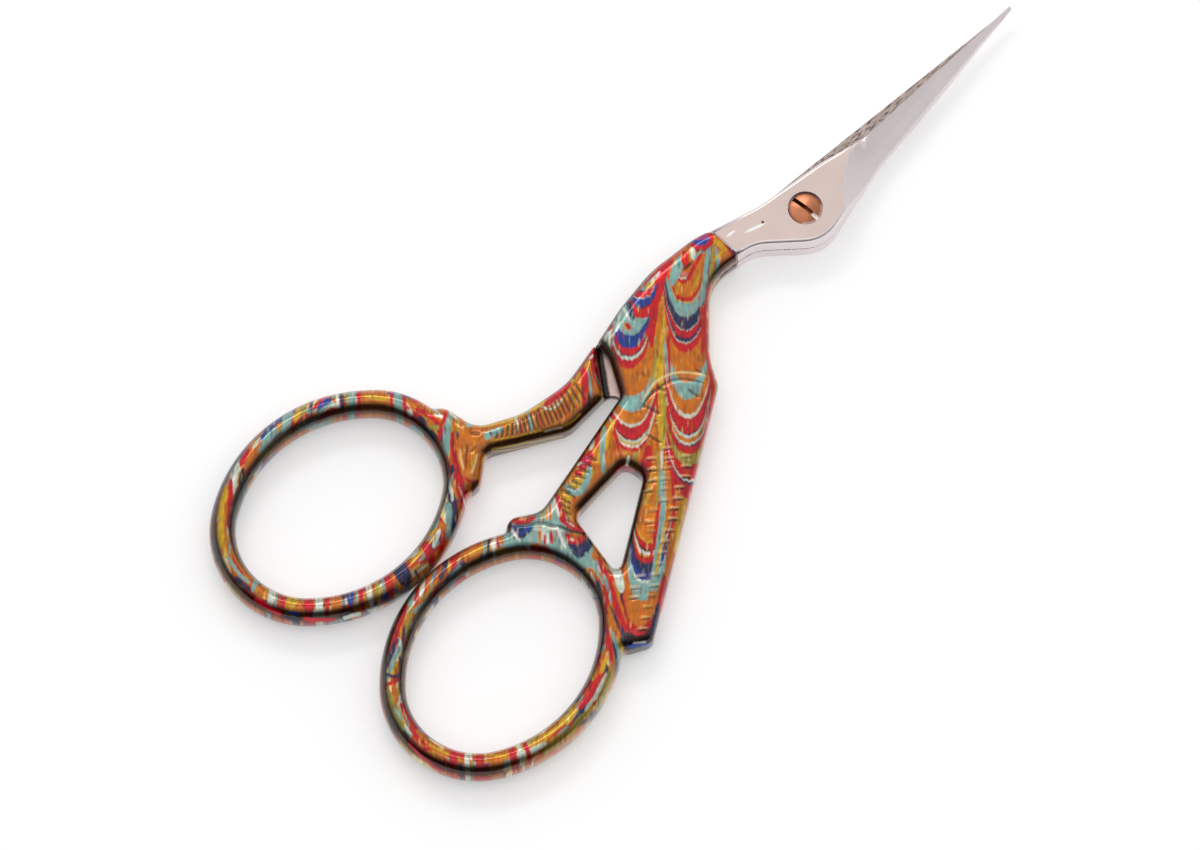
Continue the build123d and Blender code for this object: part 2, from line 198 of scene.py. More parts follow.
    ("aqua", 0.39, -21.6, -36, -21, -36.9, -20.5, -37.9), ("aqua", 2.55, -26.5, -33.9, -24.3, -34),
    nest(-22.6, -35.1, 1.08, 0.94, 0, 1.36, "red", 0.63, "orange", 0.63),
    ("gold", 0.29, -22.8, -34, -21.9, -34), ("white", 0.25, -23.1, -34.6, -22.7, -34.7),
    ("red", 0.69, -24.1, -32.4, -23.3, -33.1, -22.1, -33.5, -21.4, -33.4),
    ("white", 0.18, -23.4, -32.8, -22.7, -33.2),
    ("black", 0.29, -24.3, -33.2, -23.5, -33.5, -22.8, -33.8, -22, -33.9, -21.2, -33.7),
    ("orange", 0.33, -26.1, -33.2, -26.1, -34.9), ("pale", 0.39, -25.7, -33.2, -25.8, -34.6),
    ("orange", 0.26, -25, -33.2, -25, -33.9), ("red", 0.26, -25.6, -34.2, -25.6, -35.1),
    ("red", 0.31, -25, -33.9, -24.9, -35.1), ("white", 0.24, -25.4, -33.9, -25.3, -35),
    ("pale", 0.29, -26.7, -33.6, -25.3, -33.5, -24, -33.8),
    ("white", 0.29, -24.5, -33.5, -24.1, -34.3, -23.6, -35.5),
    nest(-28, -34.5, 1.37, 1.57, 0, 1.57, "navy", 0.42, "blue", 0.31, "navy", 0.94),
    ("blue", 0.29, -28.9, -33.1, -28.5, -33.5), ("blue", 0.39, -27.5, -33.7, -26.9, -33.4),
    nest(-27.8, -33, 1.37, 0.94, 0, 1.36, "red", 0.57, "orange", 0.26, "pale", 0.31, "gold", 0.42),
    ("white", 0.29, -29.1, -33.1, -28.7, -33.9, -28.1, -34.7), ("orange", 0.39, -30.1, -33.7, -29.7, -35.1),
    ("red", 0.33, -30.4, -33.8, -30.1, -35.4), ("white", 0.39, -30.5, -33.9, -30.6, -36.4),
    ("navy", 0.29, -31, -34.1, -31.2, -36.4), ("aqua", 0.29, -31.4, -34.3, -31.6, -36.9),
    ("orange", 2.16, -32.6, -35, -33.2, -36.6), ("red", 0.49, -33.9, -35.3, -34.7, -37.7),
    ("gold", 0.29, -31.6, -35.4, -33.4, -36.4), ("navy", 0.59, -35.2, -36.3, -35.8, -38.7),
    ("orange", 0.29, -35.8, -37.1, -36.2, -38.9), ("aqua", 0.29, -36.2, -37.1, -36.8, -39.5),
    ("orange", 0.39, -36.8, -37.9, -37.1, -39.8), ("pale", 0.49, -37.4, -38.1, -37.8, -40.5),
    ("red", 0.39, -37.9, -38.7, -38.3, -41), ("aqua", 0.59, -38.5, -39.5, -38.8, -41.4),
    ("olive", 0.39, -38.6, -41.7, -38.9, -43.1, -39.2, -44.6),
    ("red", 0.69, -39.2, -41.4, -39.9, -43.3, -40.5, -45.2, -41, -46.5),
    ("black", 0.29, -40, -41, -41, -43.6, -41.5, -45.7),
    ("navy", 0.59, -40, -45, -40.8, -46.8, -41.3, -48.1),
    ("aqua", 0.49, -39.8, -45.8, -40.5, -47.5, -40.8, -48.5), ("gold", 0.29, -40, -47.5, -40.7, -48.8),
    ("navy", 0.39, -41.2, -48.5, -40.2, -49, -39.4, -48.1),
    ("red", 0.39, -41.6, -49.8, -40.2, -49.4, -39.4, -48.5),
    ("olive", 1.18, -41, -50.4, -40.5, -52.1, -39.6, -54), ("orange", 0.49, -40.3, -49.8, -40, -51.5),
    ("orange", 0.29, -41.2, -51, -40.7, -52.7), ("aqua", 0.29, -40.3, -52.1, -39.6, -53.3),
    ("red", 0.69, -39.6, -51.7, -39, -53.3, -38.1, -55), ("aqua", 0.2, -39.3, -52.7, -38.8, -54.1),
    ("black", 0.39, -39.4, -54.4, -38.3, -56.1), ("orange", 0.59, -38.1, -54.4, -36.5, -56.2, -34.9, -57.1),
    ("red", 0.49, -38.8, -55.2, -36.9, -57.3, -34.7, -58.4), ("gold", 0.29, -36.9, -55.9, -34.9, -56.9),
    ("red", 0.78, -34.6, -56.2, -34.4, -59.3), ("navy", 0.39, -33.8, -57.9, -33.7, -59.6),
    ("pale", 0.78, -33.1, -56.2, -33, -59.6), ("olive", 0.39, -32.8, -57.5, -32.6, -59.6),
    ("red", 0.88, -31.9, -56.2, -31.9, -59.3), ("orange", 1.57, -30.6, -55.9, -30.2, -59),
    ("gold", 0.39, -31, -56.9, -29.4, -57.1), ("red", 0.78, -29, -55.6, -28.3, -58.8),
    ("pale", 0.39, -28.3, -55.4, -27.6, -58.1), ("red", 0.49, -27.7, -55.2, -27, -57.5),
    ("gold", 0.98, -27, -55.9, -24.6, -54.4, -22.6, -52.3),
    ("olive", 0.59, -25.6, -56.5, -23.5, -54.8, -21.8, -52.7), ("red", 0.25, -25.3, -55.4, -23.5, -53.8),
    ("orange", 0.39, -25.6, -54.6, -24.1, -53.3), ("navy", 0.25, -24.1, -52.9, -23.3, -52.3),
    ("red", 0.78, -22.2, -52.1, -21, -50.4, -20, -48.5),
    ("pale", 0.39, -21.6, -52.3, -20.4, -50.4, -19.6, -48.5),
    ("olive", 0.59, -20.6, -51.9, -19.6, -49.8, -19, -47.7), ("gold", 0.39, -20.1, -48.5, -19.5, -46.8),
    ("red", 0.39, -19.1, -47.7, -19.2, -45.7, -19.5, -44.2),
    ("navy", 0.59, -18.5, -48.8, -18.4, -46.8, -18.9, -45.2),
    ("aqua", 0.39, -18.2, -47.5, -18.5, -45.7, -19.2, -44),
    ("orange", 0.39, -19.4, -41.7, -19, -43.1, -18.2, -44.8), ("red", 0.39, -19.9, -42.1, -19.6, -43.7),
]

REAR_INKS = [
    ("gold", 0.49, -32, -22.7, -29.5, -22.3, -27.6, -21.3, -25.6, -20.1, -23.9, -18.9),
    ("gold", 0.59, -23.2, -18.3, -22.2, -17.1), ("red", 0.98, -25.5, -20.5, -24.4, -19.4, -23.2, -18.2),
    ("pink", 0.29, -24.5, -18.9, -23.5, -18.1), ("navy", 0.29, -25.6, -19.6, -25, -19.3),
    ("pale", 0.22, -26, -20.7, -25.2, -21.2, -24.4, -20.7, -23.9, -19.9),
    ("red", 0.33, -22.9, -17.7, -21.7, -16, -20.5, -14.1),
    ("red", 0.78, -22, -16.4, -21.6, -18.5, -21.7, -20.6), ("black", 0.29, -21.2, -19.3, -21.3, -20.4),
    ("aqua", 0.29, -21.4, -17, -21.1, -18.5, -21.1, -19.7),
    ("orange", 0.49, -21.1, -16.7, -20.6, -18.4, -20.4, -19.7),
    ("red", 1.08, -20.2, -13.7, -20.7, -15.7, -20.3, -18.1), ("white", 0.24, -20.9, -15.2, -21.2, -15.7),
    ("gold", 0.29, -21.3, -16, -21.6, -16.4), ("aqua", 0.2, -20.7, -17.2, -20.2, -18.4),
    ("navy", 0.39, -20.1, -18.1, -19.7, -19.3), ("pale", 0.29, -28.7, -21.3, -28.3, -22.4, -28.4, -23.4),
    ("aqua", 0.29, -27.4, -21, -27, -22.4, -26.9, -23.6),
    ("red", 0.2, -26.4, -21.2, -26, -22.4, -25.9, -23.4),
    ("aqua", 0.78, -32.1, -24.3, -31, -23.7, -29.8, -23.1), ("aqua", 0.59, -33.2, -22.2, -32.6, -23.5),
    ("olive", 0.39, -32, -24, -31.4, -24.4), ("navy", 0.2, -31, -23.4, -30.7, -24),
    ("orange", 3.34, -32.6, -23.5, -33, -25.9, -32.6, -28.9),
    ("red", 0.59, -34.7, -23.5, -34.6, -25.6, -34.1, -27.9, -33.2, -30),
    ("red", 0.69, -34.4, -27.9, -33.7, -29.5, -33.6, -31.1),
    ("white", 0.16, -34.2, -28.9, -33.6, -30.1, -33.3, -30.9),
    ("aqua", 0.78, -34.9, -21.4, -35.3, -23.3, -35.2, -25.6),
    ("amber", 0.29, -33.3, -24.3, -33.4, -25.9, -33.5, -27.5), ("gold", 0.29, -32.6, -25.4, -32.8, -27),
    ("gold", 0.2, -31.5, -25.2, -31.7, -26.6), ("red", 0.24, -33.6, -28.1, -32.9, -28.6, -32, -28.3),
    ("navy", 0.59, -35, -30, -34.7, -31.1, -34.3, -32.3), ("pale", 0.29, -35, -21, -34.3, -22),
    ("red", 0.44, -35.2, -21, -35.8, -23.1, -36.2, -25), ("gold", 0.29, -36.9, -20.4, -35.3, -20.7),
    ("red", 0.34, -39.6, -18.6, -39.2, -22.2), ("aqua", 0.78, -40.2, -18.6, -39.8, -22.2),
    ("red", 0.29, -40.8, -18.6, -40.5, -22), ("orange", 2.75, -42.4, -18.6, -42.2, -21.7),
    ("gold", 0.49, -43.2, -19.7, -41, -20), ("red", 0.39, -43.9, -18.4, -43.9, -21.4),
    ("aqua", 0.88, -44.6, -18.5, -44.6, -21.6), ("olive", 0.29, -45.1, -18.7, -45, -21.2),
    ("navy", 0.39, -45.6, -18.9, -45.5, -21.2), ("white", 0.29, -46.1, -19, -45.9, -20.6),
    ("red", 0.49, -46.5, -18.9, -47.5, -19.7, -48.3, -21), ("blue", 0.88, -46.7, -19.9, -47.7, -21),
    ("aqua", 0.29, -46.5, -20.4, -47.9, -21.4), ("red", 0.39, -46.3, -21, -47.9, -22),
    ("navy", 0.39, -48.5, -19.7, -48.7, -21.8), ("olive", 0.59, -49.2, -19.9, -49.4, -22.2),
    ("gold", 0.49, -49.8, -20.6, -50, -22.7), ("red", 0.29, -49.1, -21.6, -50.2, -22.7),
    ("aqua", 0.98, -50.6, -21, -51.2, -23.3), ("blue", 0.59, -51.2, -21.2, -52.6, -22.9, -53.4, -24.1),
    ("navy", 0.29, -51.8, -21.4, -53.2, -23.3), ("aqua", 0.88, -52, -23.1, -53.4, -25),
    ("pale", 0.29, -53.6, -23.9, -54.3, -25.2), ("orange", 0.88, -54, -25.2, -54.7, -27),
    ("red", 0.59, -54.7, -25.2, -55.5, -27), ("red", 0.39, -54.5, -27, -55.2, -28.1),
    ("pale", 0.59, -55.7, -26.6, -56.1, -28.5, -56.2, -29.8), ("black", 0.49, -55.2, -27.2, -55.5, -29.1),
    ("aqua", 0.39, -55.2, -28.9, -55.9, -31.1, -56.1, -33.7),
    ("red", 0.49, -56.4, -28.3, -56.4, -30.6, -56.4, -33.7, -55.9, -36.3),
    ("gold", 0.78, -56.9, -29.1, -57.2, -31.6, -57.3, -34.2, -56.9, -36.4),
    ("amber", 0.29, -56.8, -30.6, -57, -33.2, -56.7, -35.8), ("blue", 0.29, -57.8, -30, -58.3, -31.8),
    ("red", 0.39, -58.2, -31.4, -58.5, -33.7), ("olive", 0.39, -57.8, -31.1, -58.1, -33.7, -57.7, -36.4),
    ("aqua", 0.34, -58.1, -33.7, -57.6, -36, -56.7, -37.9), ("black", 0.2, -58.2, -35.6, -57.7, -37.5),
    ("orange", 0.49, -56.3, -35.3, -55.5, -37.3, -54.3, -38.7), ("red", 0.29, -55.5, -36, -54.3, -37.9),
    ("aqua", 0.39, -56.7, -36.4, -55.5, -38.3, -54.5, -39.1),
    ("orange", 0.39, -57.3, -37.1, -55.9, -39.4, -54.3, -40.8), ("navy", 0.49, -55.9, -38.5, -54.5, -39.8),
    ("aqua", 0.49, -53.8, -38.5, -54.2, -40), ("orange", 0.69, -53.2, -39.1, -53.6, -41.2),
    ("pale", 0.69, -52.3, -39.6, -52.6, -42.1), ("aqua", 0.29, -51.8, -39.8, -52, -42.1),
    ("red", 0.49, -51.2, -39.8, -51.3, -42.7), ("gold", 1.18, -50.2, -40, -50.3, -41.4),
    ("orange", 0.78, -49.6, -41.4, -49.4, -42.9), ("navy", 0.59, -50, -42.3, -49.6, -43.3),
    ("red", 0.88, -48.7, -40, -48.7, -43.1), ("pale", 0.78, -47.7, -40, -47.7, -43.3),
    ("red", 0.49, -46.9, -40, -46.9, -42.9), ("orange", 0.98, -46.1, -39.8, -46, -42.3),
    ("navy", 0.29, -45.4, -39.8, -45.2, -42.1), ("blue", 0.78, -44.7, -39.6, -44.6, -41.4),
    ("aqua", 0.29, -44.1, -39.4, -43.9, -41.4), ("red", 0.49, -43.7, -39.1, -43.4, -41.7),
    ("pale", 0.59, -43, -38.7, -42.6, -41.2), ("olive", 0.59, -42.2, -38.3, -41.8, -41),
    ("aqua", 0.29, -41.6, -38.3, -41.3, -40.2), ("red", 0.78, -41.2, -37.7, -40.6, -40.2),
    ("navy", 1.57, -40.1, -36.9, -39.1, -39.1), ("blue", 0.49, -40.2, -37.5, -39.4, -36.9),
    ("pale", 0.59, -38.8, -36.4, -38.1, -35.4), ("gold", 0.39, -38.7, -37.1, -37.5, -35.4),
    ("red", 0.88, -37.5, -34.8, -36.5, -37.1), ("navy", 0.29, -38.5, -37.7, -37.9, -38.3),
    ("gold", 0.49, -36.9, -34.1, -36.3, -33.5), ("pale", 0.49, -36.5, -35.4, -36, -33.7),
    ("red", 0.49, -35.8, -32.3, -35.5, -34.2, -35.9, -36.3), ("orange", 0.69, -35.9, -32.9, -35.1, -33.7),
    ("aqua", 0.78, -35.2, -30.8, -34.8, -32.7, -35.1, -34.2),
    ("navy", 0.59, -34.7, -29.8, -34.3, -31.8, -34.7, -34.8), ("pale", 0.39, -35, -28.5, -34.7, -30.6),
    ("navy", 0.25, -35.2, -29.1, -34.9, -30.4), ("orange", 0.29, -34.4, -29.3, -33.7, -31),
    ("red", 0.39, -34.3, -28.9, -33.6, -31.2),
]

# Painted highlights and reflections on the dark walls, in the colours they show
FRONT_GLINTS = [
    ("blue", 0.44, -17.4, -45.8, -16.3, -45.6, -15.3, -45.7), ("white", 0.14, -16.9, -45.4, -15.8, -45.3),
    ("pale", 0.16, -15.1, -46.2, -14.6, -44.4, -14.2, -42.3),
    ("gold", 0.12, -18.8, -28.3, -20.3, -30, -21.6, -31.8, -22.2, -32.9),
    ("white", 0.26, -17.4, -26, -17.6, -27), ("red", 0.24, -18.8, -27.6, -17.9, -27, -16.9, -27.5),
    ("pink", 0.16, -18.5, -27.9, -17.7, -27.4, -17.1, -27.7),
    ("gold", 0.12, -16.7, -28.5, -16.9, -30.6, -17.2, -32.7),
    ("red", 0.26, -33.7, -60.1, -30, -60.7, -27.1, -60), ("white", 0.22, -29, -59.9, -27.9, -59.4),
    ("gold", 0.16, -25.6, -58.4, -23, -56.5, -21, -54.2),
    ("red", 0.24, -38.8, -55.9, -37.5, -57.4, -35.9, -58.7),
]

REAR_GLINTS = [
    ("gold", 0.12, -31, -24.4, -28.8, -24, -25.6, -23.3, -23.3, -22.8, -22.2, -21.6),
    ("white", 0.1, -25.6, -23.4, -23.9, -23), ("olive", 0.22, -30.8, -25.3, -27.6, -24.7, -23.9, -23.9),
    ("gold", 0.09, -30.8, -25.6, -27.6, -25.1, -24.1, -24.2),
    ("red", 0.49, -53.8, -40.9, -52.8, -41.7, -51.6, -42.3),
    ("red", 0.39, -49.1, -42.9, -47.7, -43.1, -46.3, -43), ("blue", 0.24, -50.5, -42.2, -49.7, -42.4),
    ("pale", 0.39, -45.2, -42.8, -43.8, -42.4),
]

# Relief of the plumage. A row holds a line's height (below zero is engraved), its half width, and
# the right and up of each of its places, all in mm. The barbs are short steps across the tail.
TAIL_BARBS = (
    (-15.21, -26.15), (-15.11, -27.25), (-15.11, -28.4), (-15.55, -29.44), (-14.91, -31.53),
    (-15.3, -32.74), (-15.21, -33.72), (-16.28, -38.42), (-16.78, -39.57), (-16.87, -40.57),
    (-13.64, -25.06), (-13.44, -26.1), (-13.64, -27.14), (-13.83, -28.24), (-13.83, -29.28),
    (-13.93, -30.48), (-11.77, -25.89), (-11.77, -26.93), (-11.87, -27.98), (-12.46, -29.13),
    (-12.61, -30.27), (-12.95, -31.32), (-13.1, -32.41), (-13.44, -33.62), (-13.83, -34.76),
    (-14.08, -35.91), (-14.42, -37.06), (-14.81, -38.21), (-14.91, -39.36), (-15.21, -40.4),
    (-15.55, -41.55), (-15.79, -42.7), (-16.04, -43.85),
)
KNEE_RIBS = (
    (-21.53, -25.93, -20.45, -26.5), (-22.02, -26.56, -20.94, -27.12), (-22.32, -27.18, -21.24, -27.75),
    (-22.71, -27.81, -21.63, -28.37), (-23.1, -28.44, -22.02, -29), (-23.59, -28.96, -22.51, -29.52),
    (-24.18, -29.27, -23.1, -29.84), (-23.59, -29.69, -22.51, -30.25), (-24.08, -30.32, -23, -30.88),
    (-24.08, -30.89, -23, -31.45), (-23.99, -31.46, -22.91, -32.03),
)
FRONT_CARVING = [
    (0.16, 0.3, -16.09, -20.36, -15.5, -19.21, -14.81, -18.27, -13.73, -17.54, -12.65, -17.23, -11.48,
     -17.23, -9.61, -17.64),
    (-0.12, 0.22, -16.28, -21.19, -15.5, -19.73, -14.62, -18.9, -13.54, -18.16, -12.46, -17.85, -11.18,
     -17.96, -9.81, -18.37),
    (-0.14, 0.14, -15.99, -20.57, -14.22, -21.61), (-0.14, 0.13, -14.52, -18.79, -13.73, -19.21),
    (-0.14, 0.14, -11.58, -18.9, -10.5, -19.84), (-0.14, 0.14, -15.7, -23.59, -14.13, -24.64),
    (-0.1, 0.12, -14.91, -22.24, -14.52, -22.34), (-0.12, 0.12, -10.89, -16.91, -10.1, -17.23),
    (-0.1, 0.14, -10.55, -6.58, -10.45, -6.58), (-0.1, 0.14, -14.27, -9.71, -14.18, -9.71),
    (-0.16, 0.18, -24.23, -33.2, -23.54, -33.51, -22.76, -33.77, -21.39, -33.82),
    (-0.16, 0.18, -28.84, -33.09, -27.27, -32.99, -25.9, -32.78, -24.82, -33.2, -24.13, -33.3),
    (0.1, 0.4, -28.25, -32.47, -27.37, -32.36),
    *((-0.13, 0.12, *rib) for rib in KNEE_RIBS),
]
THIGH_RIBS = (
    (-30.21, -23.38, -30.41, -24.12), (-29.71, -23.04, -29.87, -24.04), (-29.2, -22.69, -29.33, -23.96),
    (-28.76, -22.39, -28.81, -23.87), (-28.47, -22.2, -28.34, -23.76), (-28.18, -22.01, -27.87, -23.64),
    (-27.85, -21.79, -27.42, -23.53), (-27.49, -21.56, -26.98, -23.41), (-27.13, -21.33, -26.55, -23.3),
    (-26.73, -21.1, -26.08, -23.12), (-26.34, -20.87, -25.61, -22.92), (-25.94, -20.64, -25.15, -22.73),
    (-25.58, -20.41, -24.72, -22.54), (-25.22, -20.18, -24.28, -22.35), (-24.86, -19.91, -23.86, -22.09),
    (-24.5, -19.6, -23.47, -21.74), (-24.14, -19.3, -23.07, -21.4), (-23.72, -18.93, -22.59, -20.97),
    (-23.29, -18.55, -22.09, -20.51), (-22.86, -18.16, -21.58, -20.04),
)
REAR_CARVING = [
    (-0.07, 0.25, -33.16, -24.43, -33.35, -25.89, -33.35, -27.46),
    (-0.07, 0.2, -32.96, -25.58, -32.18, -24.74),
    (-0.06, 0.2, -34.24, -22.76, -34.73, -24.32, -34.43, -26.41, -33.65, -28.5),
    (-0.14, 0.2, -32.96, -23.49, -31.98, -23.59), (0.08, 0.5, -33.75, -23.28, -33.55, -22.65),
    (0.09, 0.45, -33.94, -25.16, -33.84, -26.41, -33.55, -27.46),
    (0.1, 0.5, -32.27, -25.58, -32.47, -26.83, -32.86, -27.87),
    *((-0.12, 0.1, *rib) for rib in THIGH_RIBS),
]


# ---------------------------------------------------------------- the panel's values

def colour_value(name, description, code):
    """A colour on the panel, set to an sRGB hex code."""
    return FloatVectorProperty(name=name, description=description, subtype="COLOR", size=4, min=0, max=1,
                               default=hex_colour(code))


def length_value(name, description, default, precision=5, **limits):
    """A length on the panel, in metres."""
    return FloatProperty(name=name, description=description, unit="LENGTH", default=default,
                         precision=precision, **limits)


class InkColours(bpy.types.PropertyGroup):
    """Inks of the marbling."""
    red: colour_value("Red", "Scarlet ink, the commonest line", "#C91A28")
    orange: colour_value("Orange", "Ground colour of the bird", "#CF7428")
    amber: colour_value("Amber", "Darker ground", "#C96A18")
    gold: colour_value("Gold", "Yellow ink", "#D3AC4C")
    olive: colour_value("Olive", "Where gold and aqua have mixed", "#A6964E")
    aqua: colour_value("Aqua", "Pale blue-green ink", "#86AEA8")
    pale: colour_value("Pale", "Thinned aqua", "#D5DFD0")
    # White is also laid thinly as a painted reflection on the walls that face right
    white: colour_value("White", "White ink, in thin lines", "#F0ECE4")
    navy: colour_value("Navy", "Darkest blue ink", "#1A2850")
    blue: colour_value("Blue", "Bright blue ink", "#1F4490")
    pink: colour_value("Pink", "Red ink over white", "#DB5A86")
    # Cream: an ink in the ring streaks, and a painted highlight on the relief's crests and in scattered
    # threads
    cream: colour_value("Cream", "Worn crests of the relief", "#FBE3AE")
    bare: colour_value("Bare", "Inner faces, with no ink under the clear coat", "#DCC8C2")
    # Black is also laid as painted shade on the side walls, in the engraving and beside the rear thigh's
    # step
    black: colour_value("Black", "Brown-black of the side walls and the engraving", "#1C120E")


class HandleSizes(bpy.types.PropertyGroup):
    """Sizes of the handles' dressed surface."""
    cell: length_value("Mesh cell", "Size of the cells that the handles are meshed in", 0.000148, 6,
                       min=0.0001)
    round_across: length_value("Rounding across", "How far the rounding of the rims reaches in", 0.00135)
    round_down: length_value("Rounding down", "How far the rims of the body are rounded down", 0.0014)
    ring_down: length_value("Ring rounding", "How far the rims of the rings are rounded down", 0.0019)
    crown: length_value("Crown", "How much the broad faces swell towards their middle", 0.00022)
    feather: length_value("Soft edge", "Width over which one ink runs into the next", 0.00012)


class SteelColours(bpy.types.PropertyGroup):
    """Colours of the bare metal."""
    satin: colour_value("Neck", "Satin steel of the neck and joint", "#E0CCC4")
    # The ground colour is lighter than the neck's: partly the grind, partly painted light for faces that
    # lean towards the darker room
    ground: colour_value("Ground faces", "Steel of the hollow-ground blade faces", "#EFE4E5")
    copper: colour_value("Screw", "Copper plating of the screw", "#CC8460")


class StageValues(bpy.types.PropertyGroup):
    """Floor, light and camera."""
    floor: colour_value("Floor", "Colour of the floor", "#F4F4F4")
    lift: FloatProperty(name="Floor lift", description="What the lit paper lacks to be seen as white",
                        subtype="FACTOR", default=0.35)
    distance: length_value("Camera distance", "From the camera to the scissors", 2.4, precision=2)
    width: length_value("View width", "Width of what the camera sees at the scissors", 0.1177, precision=4)
    key: FloatProperty(name="Key light", description="Power of the softbox above the bird's head",
                       unit="POWER", default=0.5)
    fill: FloatProperty(name="Fill light", description="Power of the overhead softbox",
                        unit="POWER", default=0.22)


def values(group):
    """A group of the panel's values."""
    return getattr(bpy.context.scene, group)


# ---------------------------------------------------------------- meshes

def merged(node):
    """A bmesh copy of a CAD node's mesh with its loose triangles joined."""
    bm = bmesh.new()
    bm.from_mesh(frame["nodes"][node].data)
    bmesh.ops.remove_doubles(bm, verts=bm.verts, dist=1e-7)
    return bm


def new_piece(bm, name, body, nodes):
    """Makes the object of a finished bmesh, puts it in its body and hides the CAD nodes it stands for."""
    mesh = bpy.data.meshes.new(name)
    for face in bm.faces:
        face.smooth = True
    bm.to_mesh(mesh)
    bm.free()
    piece = bpy.data.objects.new(name, mesh)
    bpy.context.scene.collection.objects.link(piece)
    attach(piece, body)
    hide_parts(*nodes)
    return piece


def remeshed(piece, cell):
    """Remeshes a closed piece in even cells."""
    step = piece.modifiers.new("Cells", "REMESH")
    step.mode, step.voxel_size, step.adaptivity = "VOXEL", cell, 0
    step.use_smooth_shade = True
    fresh = bpy.data.meshes.new_from_object(piece.evaluated_get(bpy.context.evaluated_depsgraph_get()))
    piece.modifiers.remove(step)
    old, piece.data = piece.data, fresh
    bpy.data.meshes.remove(old)
    fresh.name = piece.name


def read_mesh(piece):
    """Places and normals of a piece's vertices, places in mm."""
    count = len(piece.data.vertices)
    places, normals = np.empty(3 * count, np.float32), np.empty(3 * count, np.float32)
    piece.data.vertices.foreach_get("co", places)
    piece.data.vertex_normals.foreach_get("vector", normals)
    return places.reshape(-1, 3).astype(float) / MM, normals.reshape(-1, 3).astype(float)


def write_mesh(piece, places):
    """Moves a piece's vertices to places in mm."""
    piece.data.vertices.foreach_set("co", (places * MM).astype(np.float32).ravel())
    piece.data.update()


def softened(piece, rounds, factor):
    """Smooths a piece's vertices towards their neighbours."""
    bm = bmesh.new()
    bm.from_mesh(piece.data)
    for _ in range(rounds):
        bmesh.ops.smooth_vert(bm, verts=bm.verts, factor=factor, use_axis_x=True, use_axis_y=True,
                              use_axis_z=True)
    bm.to_mesh(piece.data)
    bm.free()


def bird_places(places):
    """(right, up) of each vertex, in mm."""
    return np.column_stack([places @ np.array(RIGHT), places @ np.array(UP)])


def smooth_line(places):
    """A line through the flat row of places, with its corners cut twice and its ends kept."""
    line = np.reshape(places, (-1, 2)).astype(float)
    for _ in range(2 if len(line) > 2 else 0):
        early, late = 0.75 * line[:-1] + 0.25 * line[1:], 0.25 * line[:-1] + 0.75 * line[1:]
        line = np.vstack([line[:1], np.column_stack([early, late]).reshape(-1, 2), line[-1:]])
    return line


def off_line(points, line):
    """Distance of each point from a line, how far along it lies (0 to 1), and on which side."""
    best, share, side = np.full(len(points), 1e9), np.zeros(len(points)), np.zeros(len(points))
    runs = line[1:] - line[:-1]
    lengths = np.maximum(np.hypot(runs[:, 0], runs[:, 1]), 1e-6)
    done = 0.0
    for start, run, length in zip(line[:-1], runs, lengths):
        away = points - start
        t = np.clip(away @ run / length**2, 0, 1)
        gap = away - t[:, None] * run
        far = np.hypot(gap[:, 0], gap[:, 1])
        closer = far < best
        best[closer], share[closer] = far[closer], (done + t[closer] * length) / lengths.sum()
        side[closer] = (run[0] * away[closer, 1] - run[1] * away[closer, 0]) / length
        done += length
    return best, share, side


def near(points, line, margin):
    """Indices of the points in a line's box, grown by a margin."""
    low, high = line.min(0) - margin, line.max(0) + margin
    return np.nonzero(((points > low) & (points < high)).all(1))[0]


# ---------------------------------------------------------------- handles

COAT_MIDDLE, COAT_RADIUS = np.array([-17.0, 3.2]), 9.0    # of the lacquer's curved end on the neck
THIGH_END = np.array([(-20.9, -12.8), (-19.54, -21.25)])  # the rear half's thigh ends in a step here
RING_MIDDLES = {"front": np.array([-53.85, -10.5]), "rear": np.array([-53.85, 11.7])}
RING_TURN = {"front": math.radians(7.0), "rear": math.radians(-7.0)}
RING_LENGTH, RING_WIDTH = 22.0, 16.8  # of the bore
RING_END = 7.0                        # radius of the bore's narrow ends
RING_BAND = 2.65                      # from the bore to the outside


def ring_distance(places, side):
    """Distance outside a ring's bore, whose outline is a four-arc oval."""
    turn, away = RING_TURN[side], places[:, :2] - RING_MIDDLES[side]
    x = np.abs(away[:, 0] * math.cos(turn) + away[:, 1] * math.sin(turn))
    y = np.abs(away[:, 1] * math.cos(turn) - away[:, 0] * math.sin(turn))
    end, half = RING_LENGTH / 2 - RING_END, RING_WIDTH / 2
    flank = (end**2 + half**2 - RING_END**2) / (2 * (half - RING_END))
    by_side = np.arctan2(x, y + flank - half) < math.atan2(end, flank - half)
    return np.where(by_side, np.hypot(x, y + flank - half) - flank, np.hypot(x - end, y) - RING_END)


def ring_place(side, turn, out):
    """(right, up) of a place round a ring: an angle from its long axis and a distance outside its bore."""
    x = (RING_LENGTH / 2 + out) * math.cos(turn)
    y = (RING_WIDTH / 2 + out) * math.sin(turn)
    c, s = math.cos(RING_TURN[side]), math.sin(RING_TURN[side])
    middle = RING_MIDDLES[side]
    place = Vector((middle[0] + x * c - y * s, middle[1] + x * s + y * c, 0))
    return place.dot(RIGHT), place.dot(UP)


def lacquer_shell(side):
    """The outer skin of a handle's lacquer as one closed form."""
    bm = merged(f"{side}_handle_lacquer")
    core = merged(f"{side}_half")
    metal = BVHTree.FromBMesh(core)
    core.free()
    film_gap = 0.06 * MM  # the film's inner skin lies nearer to the steel than this
    inner = [f for f in bm.faces if metal.find_nearest(f.calc_center_median())[3] < film_gap]
    bmesh.ops.delete(bm, geom=inner, context="FACES")
    bmesh.ops.holes_fill(bm, edges=[e for e in bm.edges if e.is_boundary], sides=0)
    bmesh.ops.recalc_face_normals(bm, faces=bm.faces)
    return new_piece(bm, f"{side}_handle", side, [f"{side}_handle_lacquer"])


